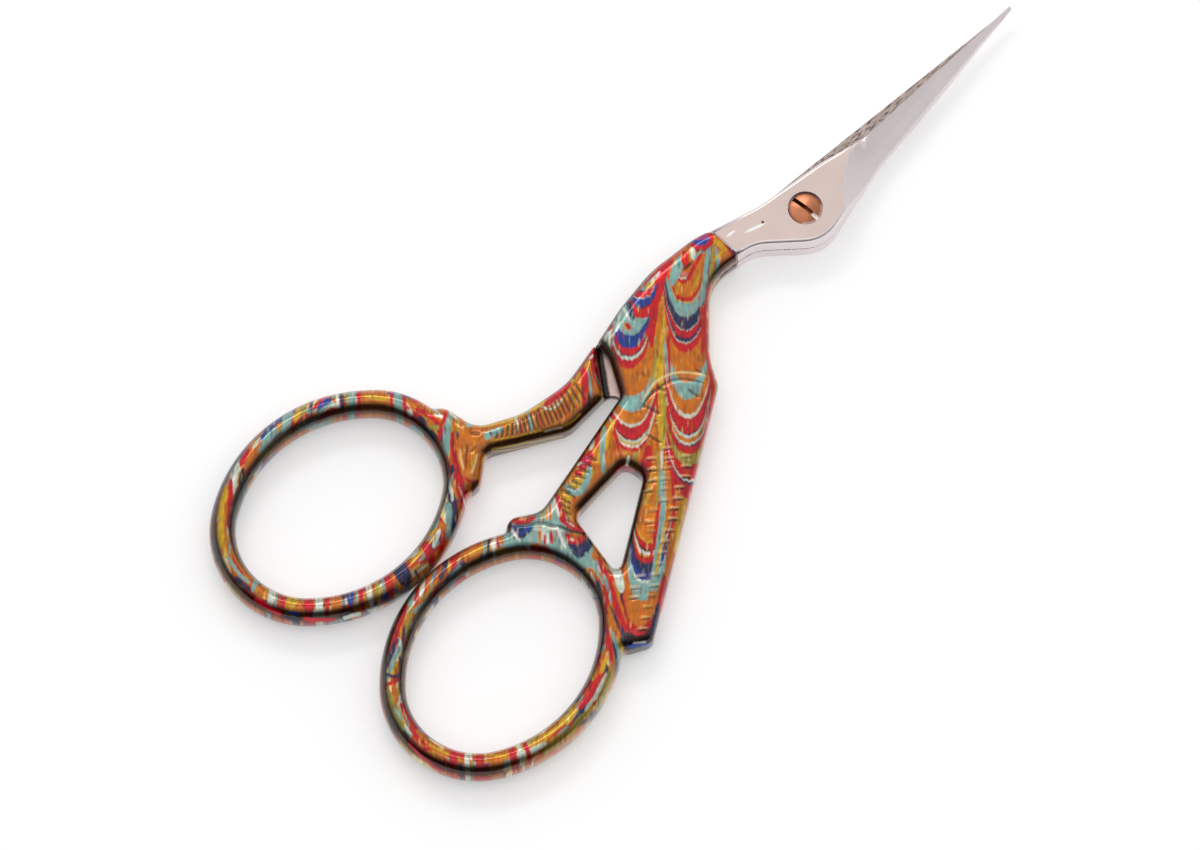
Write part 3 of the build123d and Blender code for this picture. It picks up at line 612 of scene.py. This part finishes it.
def rim_gap(places, normals, face):
    """Plan distance from each vertex to the nearest rim of the given face (1 front, -1 back)."""
    none, reach, close = 9.0, 4.0, 1.0
    level = (places[:, 2] - MID) * face
    # The walls stand upright below the face. The lacquer's end on the neck isn't one of them.
    coat_end = np.abs(np.hypot(*(places[:, :2] - COAT_MIDDLE).T) - COAT_RADIUS) < 0.15
    upright = (np.abs(normals[:, 2]) < 0.12) & (level > 0.25) & (level < 0.9)
    wall = np.nonzero(upright & ~coat_end)[0]
    tree = KDTree(len(wall))
    for i in wall:
        tree.insert((places[i, 0], places[i, 1], 0), int(i))
    tree.balance()
    gap = np.full(len(places), none)
    for i in np.nonzero(level > 0)[0]:
        _, found, far = tree.find((places[i, 0], places[i, 1], 0))
        if far < reach:
            lean = (places[found, :2] - places[i, :2]) @ normals[found, :2]
            gap[i] = max(lean, 0.0) if far < close else far
    return gap


def shaped(piece, side, sizes):
    """Rounds the rims and crowns the faces more than the plain solid."""
    places, normals = read_mesh(piece)
    across, crown = sizes.round_across / MM, sizes.crown / MM
    crown_reach, least = 3.2, 0.03  # of the crown from the rim, and the least height above the middle
    band = ring_distance(places, side)
    on_ring = np.clip((RINGS_BEGIN - 0.5 - places[:, 0]) / 2.0, 0, 1) * (band < RING_BAND + 0.4)
    down = (sizes.round_down + (sizes.ring_down - sizes.round_down) * on_ring) / MM
    fade = np.clip((ROUNDING_BEGINS - places[:, 0]) / 3.0, 0, 1)
    for face in (1, -1):
        gap = rim_gap(places, normals, face)
        level = (places[:, 2] - MID) * face
        # The solid's rims have a radius of 1 mm; the new ones are quarter ovals.
        before = 1 + np.sqrt(1 - (1 - np.clip(gap, 0, 1))**2)
        after = 2 - (down - crown) * (1 - np.sqrt(1 - (1 - np.clip(gap / across, 0, 1))**2))
        after -= crown * (1 - np.clip(gap / crown_reach, 0, 1))**2
        moved = np.where(level > 0.8 * before, after, level * after / before)
        take = level > least
        moved = np.where(take, np.maximum(moved, least), moved)
        places[take, 2] = MID + face * (level + (moved - level) * fade)[take]
    write_mesh(piece, places)


def bell(far, width):
    """1 on a line, falling softly to nothing at about twice the given width from it."""
    return np.exp(-(far / width)**2)


def carved(piece, carving, barbs):
    """Raises and engraves the plumage on both faces, and tells where to paint shade in the hollows and
    highlights on the crests.
    """
    places, normals = read_mesh(piece)
    flat = bird_places(places)
    lift, relief_shading = np.zeros(len(flat)), np.zeros(len(flat))
    full_shading = 0.12  # relief as deep as this gets the full painted shade
    for height, half_width, *line in carving:
        line = smooth_line(line)
        found = near(flat, line, 4 * half_width)
        far, share, _ = off_line(flat[found], line)
        taper = 1 - (2 * share - 1)**8
        lift[found] += height * bell(far, half_width) * taper
        depth = min(abs(height) / full_shading, 1)
        # Painted shade along the engraved lines, painted highlight along the raised ones
        relief_shading[found] += depth * (bell(far, 0.10) if height < 0 else -bell(far, 0.11)) * taper
    half_barb = 0.7
    for right, up in barbs:
        line = np.array([(right - half_barb, up - 0.05), (right + half_barb, up + 0.10)])
        found = near(flat, line, 0.9)
        _, _, side = off_line(flat[found], line)
        # Each barb fades towards its ends, and some are cut deeper than others.
        inside = np.clip(1.7 - 1.9 * np.abs(flat[found, 0] - right) / 0.75, 0, 1)
        inside = inside * (0.75 + 0.25 * math.sin(17 * up))
        lift[found] += (0.10 * bell(side + 0.04, 0.15) - 0.10 * bell(side + 0.28, 0.11)) * inside
        # Painted highlight on each barb's crest and painted shade in the groove below it
        relief_shading[found] += (bell(side + 0.24, 0.08) - 0.8 * bell(side, 0.09)) * inside
    facing = np.clip(np.abs(normals[:, 2]) * 1.6 - 0.5, 0, 1) * (np.abs(places[:, 2] - MID) > 0.7)
    places[:, 2] += np.sign(places[:, 2] - MID) * lift * facing
    places[:, 2] = np.clip(places[:, 2], 0.0, FRONT_FACE)
    write_mesh(piece, places)
    return np.clip(relief_shading, -1, 1) * facing


def drift(points, size, seed):
    """A gentle wandering between -1 and 1, with hills of about the given size in mm."""
    total = np.zeros(len(points))
    for i in range(5):
        angle = seed * 1.7 + i * 2.399
        along = points @ np.array([math.cos(angle), math.sin(angle)])
        total += np.sin(along * (2 * math.pi / size) * (0.7 + 0.17 * i) + seed * 3.1 + i * 1.3)
    return total / 5


def ring_streaks(side):
    """Chance streaks round a ring, which lie askew to it as the ink does on a dipped wire."""
    chance = np.random.default_rng(7 if side == "front" else 12)
    inks = ("red", "olive", "gold", "aqua", "red", "navy", "pale", "red", "amber", "cream", "blue", "red")
    count, marks = 200, []
    for i in range(count):
        turn = 2 * math.pi * (i + chance.uniform(-0.4, 0.4)) / count
        start = chance.uniform(-0.2, RING_BAND + 0.2)
        sweep, drop = chance.uniform(0.07, 0.38), chance.uniform(-0.9, 0.9)
        line = [ring_place(side, turn + sweep * t, start + drop * t) for t in (0, 0.5, 1)]
        marks.append((inks[chance.integers(len(inks))], chance.uniform(0.2, 0.7), *np.ravel(line)))
    return marks


# Inks that drift over a whole handle: ink, strength, stretch to the right and up, size of the hills
# in mm, seed, and how much is held back. First the ground under the marks, then the threads that
# the comb drew over them.
GROUND = (("gold", 1.3, (3.2, 0.5), 2.4, 3, 0.05), ("amber", 1.4, (3.0, 0.45), 2.2, 5, 0.1),
          ("olive", 1.5, (3.5, 0.4), 1.7, 21, 0.25), ("red", 1.8, (4.0, 0.35), 1.5, 31, 0.42))
# The cream threads are painted highlights, small glints scattered over the coat
THREADS = (("amber", 0.9, (2.2, 0.3), 0.9, 33, 0.33), ("olive", 0.9, (2.4, 0.3), 0.8, 35, 0.38),
           ("red", 1.5, (3.4, 0.4), 1.3, 37, 0.62), ("black", 1.1, (1, 0.16), 0.42, 23, 0.34),
           ("cream", 1.2, (1, 0.2), 0.5, 25, 0.54))


class InkFilm:
    """The ink on a handle: a colour for each vertex, laid in order."""

    def __init__(self, flat, soft):
        group = values("scissor_inks")
        self.inks = {name: np.array(getattr(group, name)[:3]) for name in InkColours.__annotations__}
        self.flat, self.soft = flat, soft
        self.colours = np.tile(self.inks["orange"], (len(flat), 1))

    def lay(self, ink, amount, found=slice(None)):
        """Covers the found vertices with an amount of ink, from 0 to 1."""
        amount = np.clip(amount, 0, 1)[:, None]
        self.colours[found] = self.colours[found] * (1 - amount) + self.inks[ink] * amount

    def lay_drifts(self, rows):
        """Lays the rows of GROUND or THREADS."""
        for ink, strength, stretch, size, seed, held in rows:
            self.lay(ink, strength * drift(self.flat * stretch, size, seed) - held)

    def lay_streak(self, ink, width, *places):
        """A streak that narrows towards both ends."""
        line = smooth_line(places)
        found = near(self.flat, line, width)
        far, share, _ = off_line(self.flat[found], line)
        half = width / 2 * (0.45 + 0.55 * np.sqrt(np.clip(1 - (2 * share - 1)**2, 0, 1)))
        self.lay(ink, 0.5 + (half - far) / self.soft, found)

    def lay_nest(self, lowest, form, bands, teeth):
        """Scallops, whose edges the comb's teeth drag into fine points."""
        (right, up), (half_width, rise, lean, reach) = lowest, form
        half_box = 2 * half_width + abs(lean) * reach
        found = near(self.flat, np.array([(right - half_box, up - 0.3), (right + half_box, up + reach)]), 0)
        height = self.flat[found, 1] - up
        # An edge climbs by 0.6 q^2 + 0.4 q^4 of its rise, where q is 1 at the half width.
        q = (self.flat[found, 0] - right - lean * height) / half_width
        slope = np.hypot(1, rise * (1.2 * q + 1.6 * q**3) / half_width)
        depth = height - rise * (0.6 * q**2 + 0.4 * q**4) + teeth[found]
        fade = np.clip((reach - height) / 0.8, 0, 1) * np.clip((1.7 - np.abs(q)) / 0.2, 0, 1)
        start = 0.0
        for ink, thickness in bands:
            self.lay(ink, np.clip(0.5 + (depth - start) / (slope * self.soft), 0, 1) * fade, found)
            start += thickness


def paint_shade_and_reflections(film, side, places, normals, relief_shading):
    """Paints shade on the walls by the way they face, a pale reflection on the walls facing right, shade in
    the engraving and highlights on the crests.
    """
    steep = np.abs(normals[:, 2])  # 1 on the broad faces and 0 on the walls
    rightward, upward = normals @ np.array(RIGHT), normals @ np.array(UP)
    outside = ring_distance(places, side)
    on_ring = (places[:, 0] < RINGS_BEGIN) & (outside < RING_BAND + 0.3)
    # Outer walls that face the bird's front, to the right, get little painted shade and a painted pale
    # reflection instead.
    kept = rightward - np.where(on_ring, 0, 0.8) * np.clip(-upward, 0, 1)
    kept = np.clip((kept - 0.2) / 0.35, 0, 1) * ((outside > RING_BAND / 2) | ~on_ring)
    # Painted shade begins where a face turns this far from the front, sooner where it faces up; near the
    # steepest part it thins again, mostly on the rings, where the floor is reflected
    brink = 0.93 - 0.4 * np.clip(upward, 0, 1)
    foot = np.where(on_ring, 0.75, 0.1) * np.clip((0.42 - steep) / 0.25, 0, 1)
    wall = np.clip((brink - steep) / 0.16, 0, 1) * (1 - foot) * (1 - 0.85 * kept)
    inner = (np.abs(places[:, 2] - MID) < 0.3) & (steep > 0.6)
    # Painted reflection of the pale floor on the walls that face right
    film.lay("white", 0.3 * kept * np.clip((0.6 - steep) / 0.4, 0, 1))
    # Painted shade on the walls and in the engraving
    film.lay("black", np.maximum(0.92 * wall, np.clip(1.1 * relief_shading, 0, 0.95)))
    film.lay("bare", np.where(inner, 0.9, 0.0))
    # Painted shadow beside the thigh's step on the rear half's inner face
    if side == "rear":
        shade, _, _ = off_line(film.flat, THIGH_END)
        film.lay("black", np.where(inner, (0.75 - shade) / 0.15, 0.0))
    # Painted highlight on the crests of the relief
    film.lay("cream", np.clip(-relief_shading, 0, 1) * (steep > 0.5))


def paint(piece, side, marks, glints, relief_shading, sizes):
    """Lays the inks on a handle with its painted shade, reflections and highlights, and keeps them as its
    colour attribute.
    """
    places, normals = read_mesh(piece)
    flat = bird_places(places)
    flat = flat + 0.07 * np.column_stack([drift(flat, 2.6, 1), drift(flat, 2.1, 2)])
    teeth = 0.16 * np.abs(drift(flat * [1, 0.12], 0.9, 13)) + 0.10 * drift(flat * [1, 0.1], 0.45, 17)
    film = InkFilm(flat, sizes.feather / MM)
    film.lay_drifts(GROUND)
    for mark in ring_streaks(side) + marks:
        if isinstance(mark[0], str):
            film.lay_streak(*mark)
        else:
            film.lay_nest(*mark, teeth)
    combed = 0.15 * drift(flat * [1, 0.15], 0.6, 7) + 0.12 * drift(flat * [1, 0.2], 0.3, 9)
    film.colours *= (1 + combed + 0.10 * drift(flat, 0.8, 8))[:, None]
    film.lay_drifts(THREADS)
    paint_shade_and_reflections(film, side, places, normals, relief_shading)
    # A wall's glints are given as the camera sees them, lower down where the wall is lower.
    slant = math.tan(CAMERA_TILT)
    seen = flat + np.outer(places[:, 2] - FRONT_FACE, [0, slant])
    shown = normals[:, 2] > slant * (normals @ np.array(UP)) + 0.05
    for ink, width, *line in glints:
        line = smooth_line(line)
        found = near(seen, line, width)
        far = off_line(seen[found], line)[0]
        film.lay(ink, (0.5 + (width / 2 - far) / film.soft) * shown[found], found)
    # The colour attribute holds the inks together with the painted shade, reflections and highlights
    layer = piece.data.color_attributes.new("ink", "FLOAT_COLOR", "POINT")
    rgba = np.column_stack([np.clip(film.colours, 0, 1), np.ones(len(flat))])
    layer.data.foreach_set("color", rgba.astype(np.float32).ravel())


# ---------------------------------------------------------------- materials

def add(tree, kind, settings=(), links=()):
    """Adds a shader node, sets its values by name, and links other nodes' outputs to its inputs."""
    node = tree.nodes.new("ShaderNode" + kind)
    for name, value in dict(settings).items():
        if isinstance(name, int) or name in node.inputs:
            node.inputs[name].default_value = value
        else:
            setattr(node, name, value)
    for name, (source, output) in dict(links).items():
        tree.links.new(source.outputs[output], node.inputs[name])
    return node


def material(name):
    """An empty material and its node tree."""
    made = bpy.data.materials.new(name)
    made.use_nodes = True
    made.node_tree.nodes.clear()
    return made, made.node_tree


def marbled_lacquer():
    """Clear-coated marbling ink on bright metal: deep gloss over colours with a faint metal sparkle."""
    made, tree = material("marbled epoxy lacquer")
    where = add(tree, "TexCoord")
    # The ink attribute carries painted shade, reflections and highlights as well as the inks
    ink = add(tree, "VertexColor", {"layer_name": "ink"})
    # Mottling of 0.8 mm where the ink lies thicker or thinner
    mottle = add(tree, "TexNoise", {"Scale": 1 / 0.0008, "Detail": 2.0, "Roughness": 0.5},
                 {"Vector": (where, "Object")})
    tone = add(tree, "MapRange", {"To Min": 0.64, "To Max": 1.34}, {"Value": (mottle, "Fac")})
    colour = add(tree, "HueSaturation", {"Saturation": 1.12},
                 {"Color": (ink, "Color"), "Value": (tone, "Result")})
    gloss = add(tree, "MapRange", {"To Min": 0.22, "To Max": 0.42}, {"Value": (mottle, "Fac")})
    # Slight waviness of the poured coat, 0.9 mm from crest to crest
    wave = add(tree, "TexNoise", {"Scale": 1 / 0.0009, "Detail": 2.0}, {"Vector": (where, "Object")})
    bump = add(tree, "Bump", {"Strength": 0.35, "Distance": 0.00008}, {"Height": (wave, "Fac")})
    shader = add(tree, "BsdfPrincipled",
                 {"Metallic": 0.6, "Specular IOR Level": 0.1, "Coat Weight": 1.0, "Coat Roughness": 0.04,
                  "Coat IOR": 1.48},
                 {"Base Color": (colour, "Color"), "Roughness": (gloss, "Result"),
                  "Normal": (bump, "Normal"), "Coat Normal": (bump, "Normal")})
    add(tree, "OutputMaterial", {}, {"Surface": (shader, "BSDF")})
    return made


# White marks and a dark dot on the neck: (right, up) in mm, turn, half length and half width in mm, and
# colour
NECK_SPOTS = (((-7.35, -2.7), math.radians(38), (0.55, 0.13), "#FFFFFF"),
          ((-4.95, -2.1), math.radians(26), (1.15, 0.16), "#FFFFFF"),
          ((-4.2, -1.5), 0.0, (0.16, 0.16), "#4A3A36"))


def forged_steel():
    """Carbon steel, satin on the neck and hollow-ground on the blades: fine lines across the grind."""
    made, tree = material("satin and ground carbon steel")
    colours = values("scissor_steel")
    where = add(tree, "TexCoord")
    # Wheel marks run across the blade, 0.06 mm apart; drawn at 0.12 mm so that they show
    turned = add(tree, "Mapping",
                 {"Rotation": (0, 0, math.radians(-8)), "Scale": (1 / 0.00012, 1 / 0.004, 1 / 0.004)},
                 {"Vector": (where, "Object")})
    lines = add(tree, "TexNoise", {"Scale": 1.0, "Detail": 2.0}, {"Vector": (turned, "Vector")})
    cloud = add(tree, "TexNoise", {"Scale": 1 / 0.003, "Detail": 2.0}, {"Vector": (where, "Object")})
    split = add(tree, "SeparateXYZ", {}, {"Vector": (where, "Normal")})
    level = add(tree, "Math", {"operation": "ABSOLUTE"}, {0: (split, "Z")})
    # The ground faces lean more than the flats; their lighter colour is partly painted light, as they face
    # the darker side of the room
    ground = add(tree, "MapRange", {"From Min": 0.997, "From Max": 0.985}, {"Value": (level, "Value")})
    colour = add(tree, "Mix", {"data_type": "RGBA", 6: colours.satin[:], 7: colours.ground[:]},
                 {0: (ground, "Result")})
    tone = add(tree, "MapRange", {"To Min": 0.92, "To Max": 1.05}, {"Value": (cloud, "Fac")})
    toned = add(tree, "HueSaturation", {}, {"Color": (colour, 2), "Value": (tone, "Result")})
    # Painted shade in the lap between the halves, broken up like oil and grinding dust, also streaking the
    # upward inner face
    height = add(tree, "SeparateXYZ", {}, {"Vector": (where, "Object")})
    lap = add(tree, "Math", {"operation": "COMPARE", 1: MID * MM, 2: 0.00012}, {0: (height, "Z")})
    dust_place = add(tree, "Mapping",
                     {"Rotation": (0, 0, math.radians(6)), "Scale": (1 / 0.0009, 1 / 0.00018, 1)},
                     {"Vector": (where, "Object")})
    dust = add(tree, "TexNoise", {"Scale": 1.0, "Detail": 4.0, "Roughness": 0.7},
               {"Vector": (dust_place, "Vector")})
    patch = add(tree, "MapRange", {"From Min": 0.44, "From Max": 0.62, "To Min": 0.24, "To Max": 0.9},
                {"Value": (dust, "Fac")})
    lap_shade_and_dust = add(tree, "Math", {"operation": "MULTIPLY"}, {0: (lap, "Value"), 1: (patch, "Result")})
    shaded_and_spotted = add(tree, "Mix", {"data_type": "RGBA", 7: hex_colour("#3A302C")},
                 {0: (lap_shade_and_dust, "Value"), 6: (toned, "Color")})
    # Two white marks and a dark dot on the neck's face, drawn as ovals
    for (right, up), turn, (long, wide), ink in NECK_SPOTS:
        centre = (RIGHT * right + UP * up + OUT * FRONT_FACE) * MM
        place = add(tree, "Mapping",
                    {"vector_type": "TEXTURE", "Location": centre, "Rotation": (0, 0, turn - BIRD_TURN),
                     "Scale": (long * MM, wide * MM, 0.8 * MM)}, {"Vector": (where, "Object")})
        reach = add(tree, "VectorMath", {"operation": "LENGTH"}, {0: (place, "Vector")})
        mark = add(tree, "MapRange", {"From Min": 1.1, "From Max": 0.8, "To Max": 0.9},
                   {"Value": (reach, "Value")})
        shaded_and_spotted = add(tree, "Mix", {"data_type": "RGBA", 7: hex_colour(ink)},
                     {0: (mark, "Result"), 6: (shaded_and_spotted, 2)})
    rough = add(tree, "MapRange", {"To Min": 0.26, "To Max": 0.40}, {"Value": (lines, "Fac")})
    bump = add(tree, "Bump", {"Strength": 0.12, "Distance": 0.00002}, {"Height": (lines, "Fac")})
    shader = add(tree, "BsdfPrincipled", {"Metallic": 1.0},
                 {"Base Color": (shaded_and_spotted, 2), "Roughness": (rough, "Result"), "Normal": (bump, "Normal")})
    add(tree, "OutputMaterial", {}, {"Surface": (shader, "BSDF")})
    return made


def turned_copper():
    """Copper-plated turned steel: rings from the lathe on a warm, worn polish."""
    made, tree = material("turned copper-plated steel")
    colours = values("scissor_steel")
    where = add(tree, "TexCoord")
    # Lathe rings 0.08 mm apart round the screw's axis; at a scale of 1 the node's are 0.314 apart
    rings = add(tree, "TexWave", {"wave_type": "RINGS", "rings_direction": "Z", "Scale": 0.314 / 0.00008,
                                  "Distortion": 0.6, "Detail": 1.0}, {"Vector": (where, "Object")})
    wear = add(tree, "TexNoise", {"Scale": 1 / 0.0006, "Detail": 3.0}, {"Vector": (where, "Object")})
    split = add(tree, "SeparateXYZ", {}, {"Vector": (where, "Object")})
    worn = add(tree, "MapRange", {"To Min": 0.8, "To Max": 1.2}, {"Value": (wear, "Fac")})
    # Painted shade and light across the head: darker towards its lower edge, brighter towards the upper
    shade_across_head = add(tree, "MapRange", {"From Min": -0.0015, "From Max": 0.0010, "To Min": 0.55, "To Max": 1.3},
               {"Value": (split, "Y")})
    tone = add(tree, "Math", {"operation": "MULTIPLY"}, {0: (worn, "Result"), 1: (shade_across_head, "Result")})
    plated = add(tree, "HueSaturation", {"Color": colours.copper[:]}, {"Value": (tone, "Value")})
    # The slot: painted shade at one end, brown in the middle, and a painted highlight at the other
    end = add(tree, "MapRange", {"From Min": -0.0001, "From Max": 0.0004}, {"Value": (split, "Y")})
    slot_shade = add(tree, "Mix", {"data_type": "RGBA", 6: hex_colour("#7A4A34"), 7: hex_colour("#2A1810")},
               {0: (end, "Result")})
    bright = add(tree, "MapRange", {"From Min": -0.0007, "From Max": -0.0009}, {"Value": (split, "Y")})
    slot = add(tree, "Mix", {"data_type": "RGBA", 7: hex_colour("#F4ECE6")},
               {0: (bright, "Result"), 6: (slot_shade, 2)})
    deep = add(tree, "MapRange", {"From Min": 0.00385, "From Max": 0.00366}, {"Value": (split, "Z")})
    colour = add(tree, "Mix", {"data_type": "RGBA"},
                 {0: (deep, "Result"), 6: (plated, "Color"), 7: (slot, 2)})
    rough = add(tree, "MapRange", {"To Min": 0.22, "To Max": 0.38}, {"Value": (wear, "Fac")})
    bump = add(tree, "Bump", {"Strength": 0.2, "Distance": 0.00001}, {"Height": (rings, "Fac")})
    shader = add(tree, "BsdfPrincipled", {"Metallic": 1.0},
                 {"Base Color": (colour, 2), "Roughness": (rough, "Result"), "Normal": (bump, "Normal")})
    add(tree, "OutputMaterial", {}, {"Surface": (shader, "BSDF")})
    return made


def matt_floor():
    """Seamless paper: matt white with its shadows, lifted to white for the camera and reflections."""
    made, tree = material("matt seamless paper")
    paper = add(tree, "BsdfDiffuse", {"Color": values("scissor_stage").floor[:]})
    lift = add(tree, "Emission", {"Strength": values("scissor_stage").lift})
    lifted = add(tree, "AddShader", {}, {0: (paper, "BSDF"), 1: (lift, "Emission")})
    ray = add(tree, "LightPath")
    shine = add(tree, "Math", {"operation": "MAXIMUM"},
                {0: (ray, "Is Glossy Ray"), 1: (ray, "Is Transmission Ray")})
    seen = add(tree, "Math", {"operation": "MAXIMUM"}, {0: (ray, "Is Camera Ray"), 1: (shine, "Value")})
    mixed = add(tree, "MixShader", {}, {0: (seen, "Value"), 1: (paper, "BSDF"), 2: (lifted, "Shader")})
    add(tree, "OutputMaterial", {}, {"Surface": (mixed, "Shader")})
    return made


# ---------------------------------------------------------------- operators

class SCISSORS_OT_handles(bpy.types.Operator):
    """Make the two marbled handles"""
    bl_idname = "scissors.handles"
    bl_label = "Handles"

    def execute(self, context):
        sizes = values("scissor_sizes")
        finish = marbled_lacquer()
        for side, marks, glints, carving, barbs in (
            ("front", FRONT_INKS, FRONT_GLINTS, FRONT_CARVING, TAIL_BARBS),
            ("rear", REAR_INKS, REAR_GLINTS, REAR_CARVING, ()),
        ):
            piece = lacquer_shell(side)
            remeshed(piece, sizes.cell)
            shaped(piece, side, sizes)
            remeshed(piece, sizes.cell)
            softened(piece, 4, 0.5)
            relief_shading = carved(piece, carving, barbs)
            paint(piece, side, marks, glints, relief_shading, sizes)
            piece.data.materials.clear()
            piece.data.materials.append(finish)
        return {"FINISHED"}


class SCISSORS_OT_steel(bpy.types.Operator):
    """Make the bare steel of both halves"""
    bl_idname = "scissors.steel"
    bl_label = "Steel joint and blades"

    def execute(self, context):
        finish = forged_steel()
        for side in ("front", "rear"):
            bm = merged(f"{side}_half")
            bmesh.ops.bisect_plane(bm, geom=bm.verts[:] + bm.edges[:] + bm.faces[:], clear_outer=True,
                                   plane_co=(STEEL_END * MM, 0, 0), plane_no=(-1, 0, 0))
            bmesh.ops.holes_fill(bm, edges=[e for e in bm.edges if e.is_boundary], sides=0)
            bmesh.ops.dissolve_limit(bm, angle_limit=math.radians(0.15), verts=bm.verts, edges=bm.edges)
            piece = new_piece(bm, f"{side}_steel", side, [f"{side}_half"])
            piece.data.set_sharp_from_angle(angle=math.radians(24))
            shading = piece.modifiers.new("Flat faces stay flat", "WEIGHTED_NORMAL")
            shading.keep_sharp, shading.weight = True, 100
            piece.data.materials.append(finish)
        return {"FINISHED"}


class SCISSORS_OT_screw(bpy.types.Operator):
    """Plate the pivot screw"""
    bl_idname = "scissors.screw"
    bl_label = "Pivot screw"

    def execute(self, context):
        frame["nodes"]["pivot_screw"].material_slots[0].material = turned_copper()
        return {"FINISHED"}


class SCISSORS_OT_stage(bpy.types.Operator):
    """Set the floor, the light and the camera"""
    bl_idname = "scissors.stage"
    bl_label = "Stage"

    def execute(self, context):
        scene, chosen = context.scene, values("scissor_stage")
        floor_half = 3.0  # m, so that its edge is in no picture
        bm = bmesh.new()
        bmesh.ops.create_grid(bm, x_segments=1, y_segments=1, size=floor_half)
        mesh = bpy.data.meshes.new("floor")
        bm.to_mesh(mesh)
        bm.free()
        floor = bpy.data.objects.new("floor", mesh)
        scene.collection.objects.link(floor)
        mesh.materials.append(matt_floor())

        target = Vector((-30.4, -1.2, FRONT_FACE)) * MM  # the middle of the picture
        towards = (UP * -math.sin(CAMERA_TILT) + OUT * math.cos(CAMERA_TILT)).normalized()
        camera = bpy.data.objects.new("camera", bpy.data.cameras.new("camera"))
        camera.data.sensor_width = 36.0
        camera.data.lens = camera.data.sensor_width * chosen.distance / chosen.width
        camera.data.clip_end = 50.0
        turn = Matrix((RIGHT, towards.cross(RIGHT), towards)).transposed()
        camera.matrix_world = Matrix.Translation(target + towards * chosen.distance) @ turn.to_4x4()
        scene.collection.objects.link(camera)
        scene.camera = camera

        # Name, power, the two sides in metres, and place
        for name, power, size, place in (
            ("key softbox", chosen.key, (0.36, 0.10), target + UP * 0.42 + OUT * 0.50 - RIGHT * 0.10),
            ("overhead softbox", chosen.fill, (0.35, 0.35), target + OUT * 0.75 - UP * 0.05),
        ):
            lamp = bpy.data.lights.new(name, "AREA")
            lamp.energy, lamp.shape = power, "RECTANGLE"
            lamp.size, lamp.size_y = size
            light = bpy.data.objects.new(name, lamp)
            aim = (place - target).to_track_quat("Z", "Y").to_matrix().to_4x4()
            light.matrix_world = Matrix.Translation(place) @ aim
            scene.collection.objects.link(light)

        world = bpy.data.worlds.new("studio")
        scene.world = world
        world.use_nodes = True
        tree = world.node_tree
        tree.nodes.clear()
        where = add(tree, "TexCoord")
        # White paper behind and above, the dark of the room on the camera's side
        facing = add(tree, "VectorMath", {"operation": "DOT_PRODUCT", 1: UP * 0.65 + OUT * 0.75},
                     {0: (where, "Generated")})
        level = add(tree, "MapRange", {"From Min": -0.2, "From Max": 0.3, "To Min": 0.05, "To Max": 0.92},
                    {"Value": (facing, "Value")})
        glow = add(tree, "Background", {}, {"Strength": (level, "Result")})
        add(tree, "OutputWorld", {}, {"Surface": (glow, "Background")})
        scene.view_settings.view_transform = "Standard"
        return {"FINISHED"}


class SCISSORS_PT_panel(bpy.types.Panel):
    bl_label = "Scissors"
    bl_space_type = "VIEW_3D"
    bl_region_type = "UI"
    bl_category = "Scissors"

    def draw(self, context):
        for operator in OPERATORS:
            self.layout.operator(operator.bl_idname)
        for group, kind in GROUPS.items():
            box = self.layout.box()
            for name in kind.__annotations__:
                box.prop(getattr(context.scene, group), name)


GROUPS = {"scissor_sizes": HandleSizes, "scissor_inks": InkColours, "scissor_steel": SteelColours,
          "scissor_stage": StageValues}
OPERATORS = (SCISSORS_OT_handles, SCISSORS_OT_steel, SCISSORS_OT_screw, SCISSORS_OT_stage)
CLASSES = (*GROUPS.values(), *OPERATORS, SCISSORS_PT_panel)


def register():
    for kind in CLASSES:
        bpy.utils.register_class(kind)
    for group, kind in GROUPS.items():
        setattr(bpy.types.Scene, group, PointerProperty(type=kind))


def unregister():
    for group in GROUPS:
        delattr(bpy.types.Scene, group)
    for kind in reversed(CLASSES):
        bpy.utils.unregister_class(kind)


def main():
    register()
    for operator in OPERATORS:
        group, name = operator.bl_idname.split(".")
        getattr(getattr(bpy.ops, group), name)()
    bpy.context.view_layer.update()


if __name__ == "__main__":
    main()
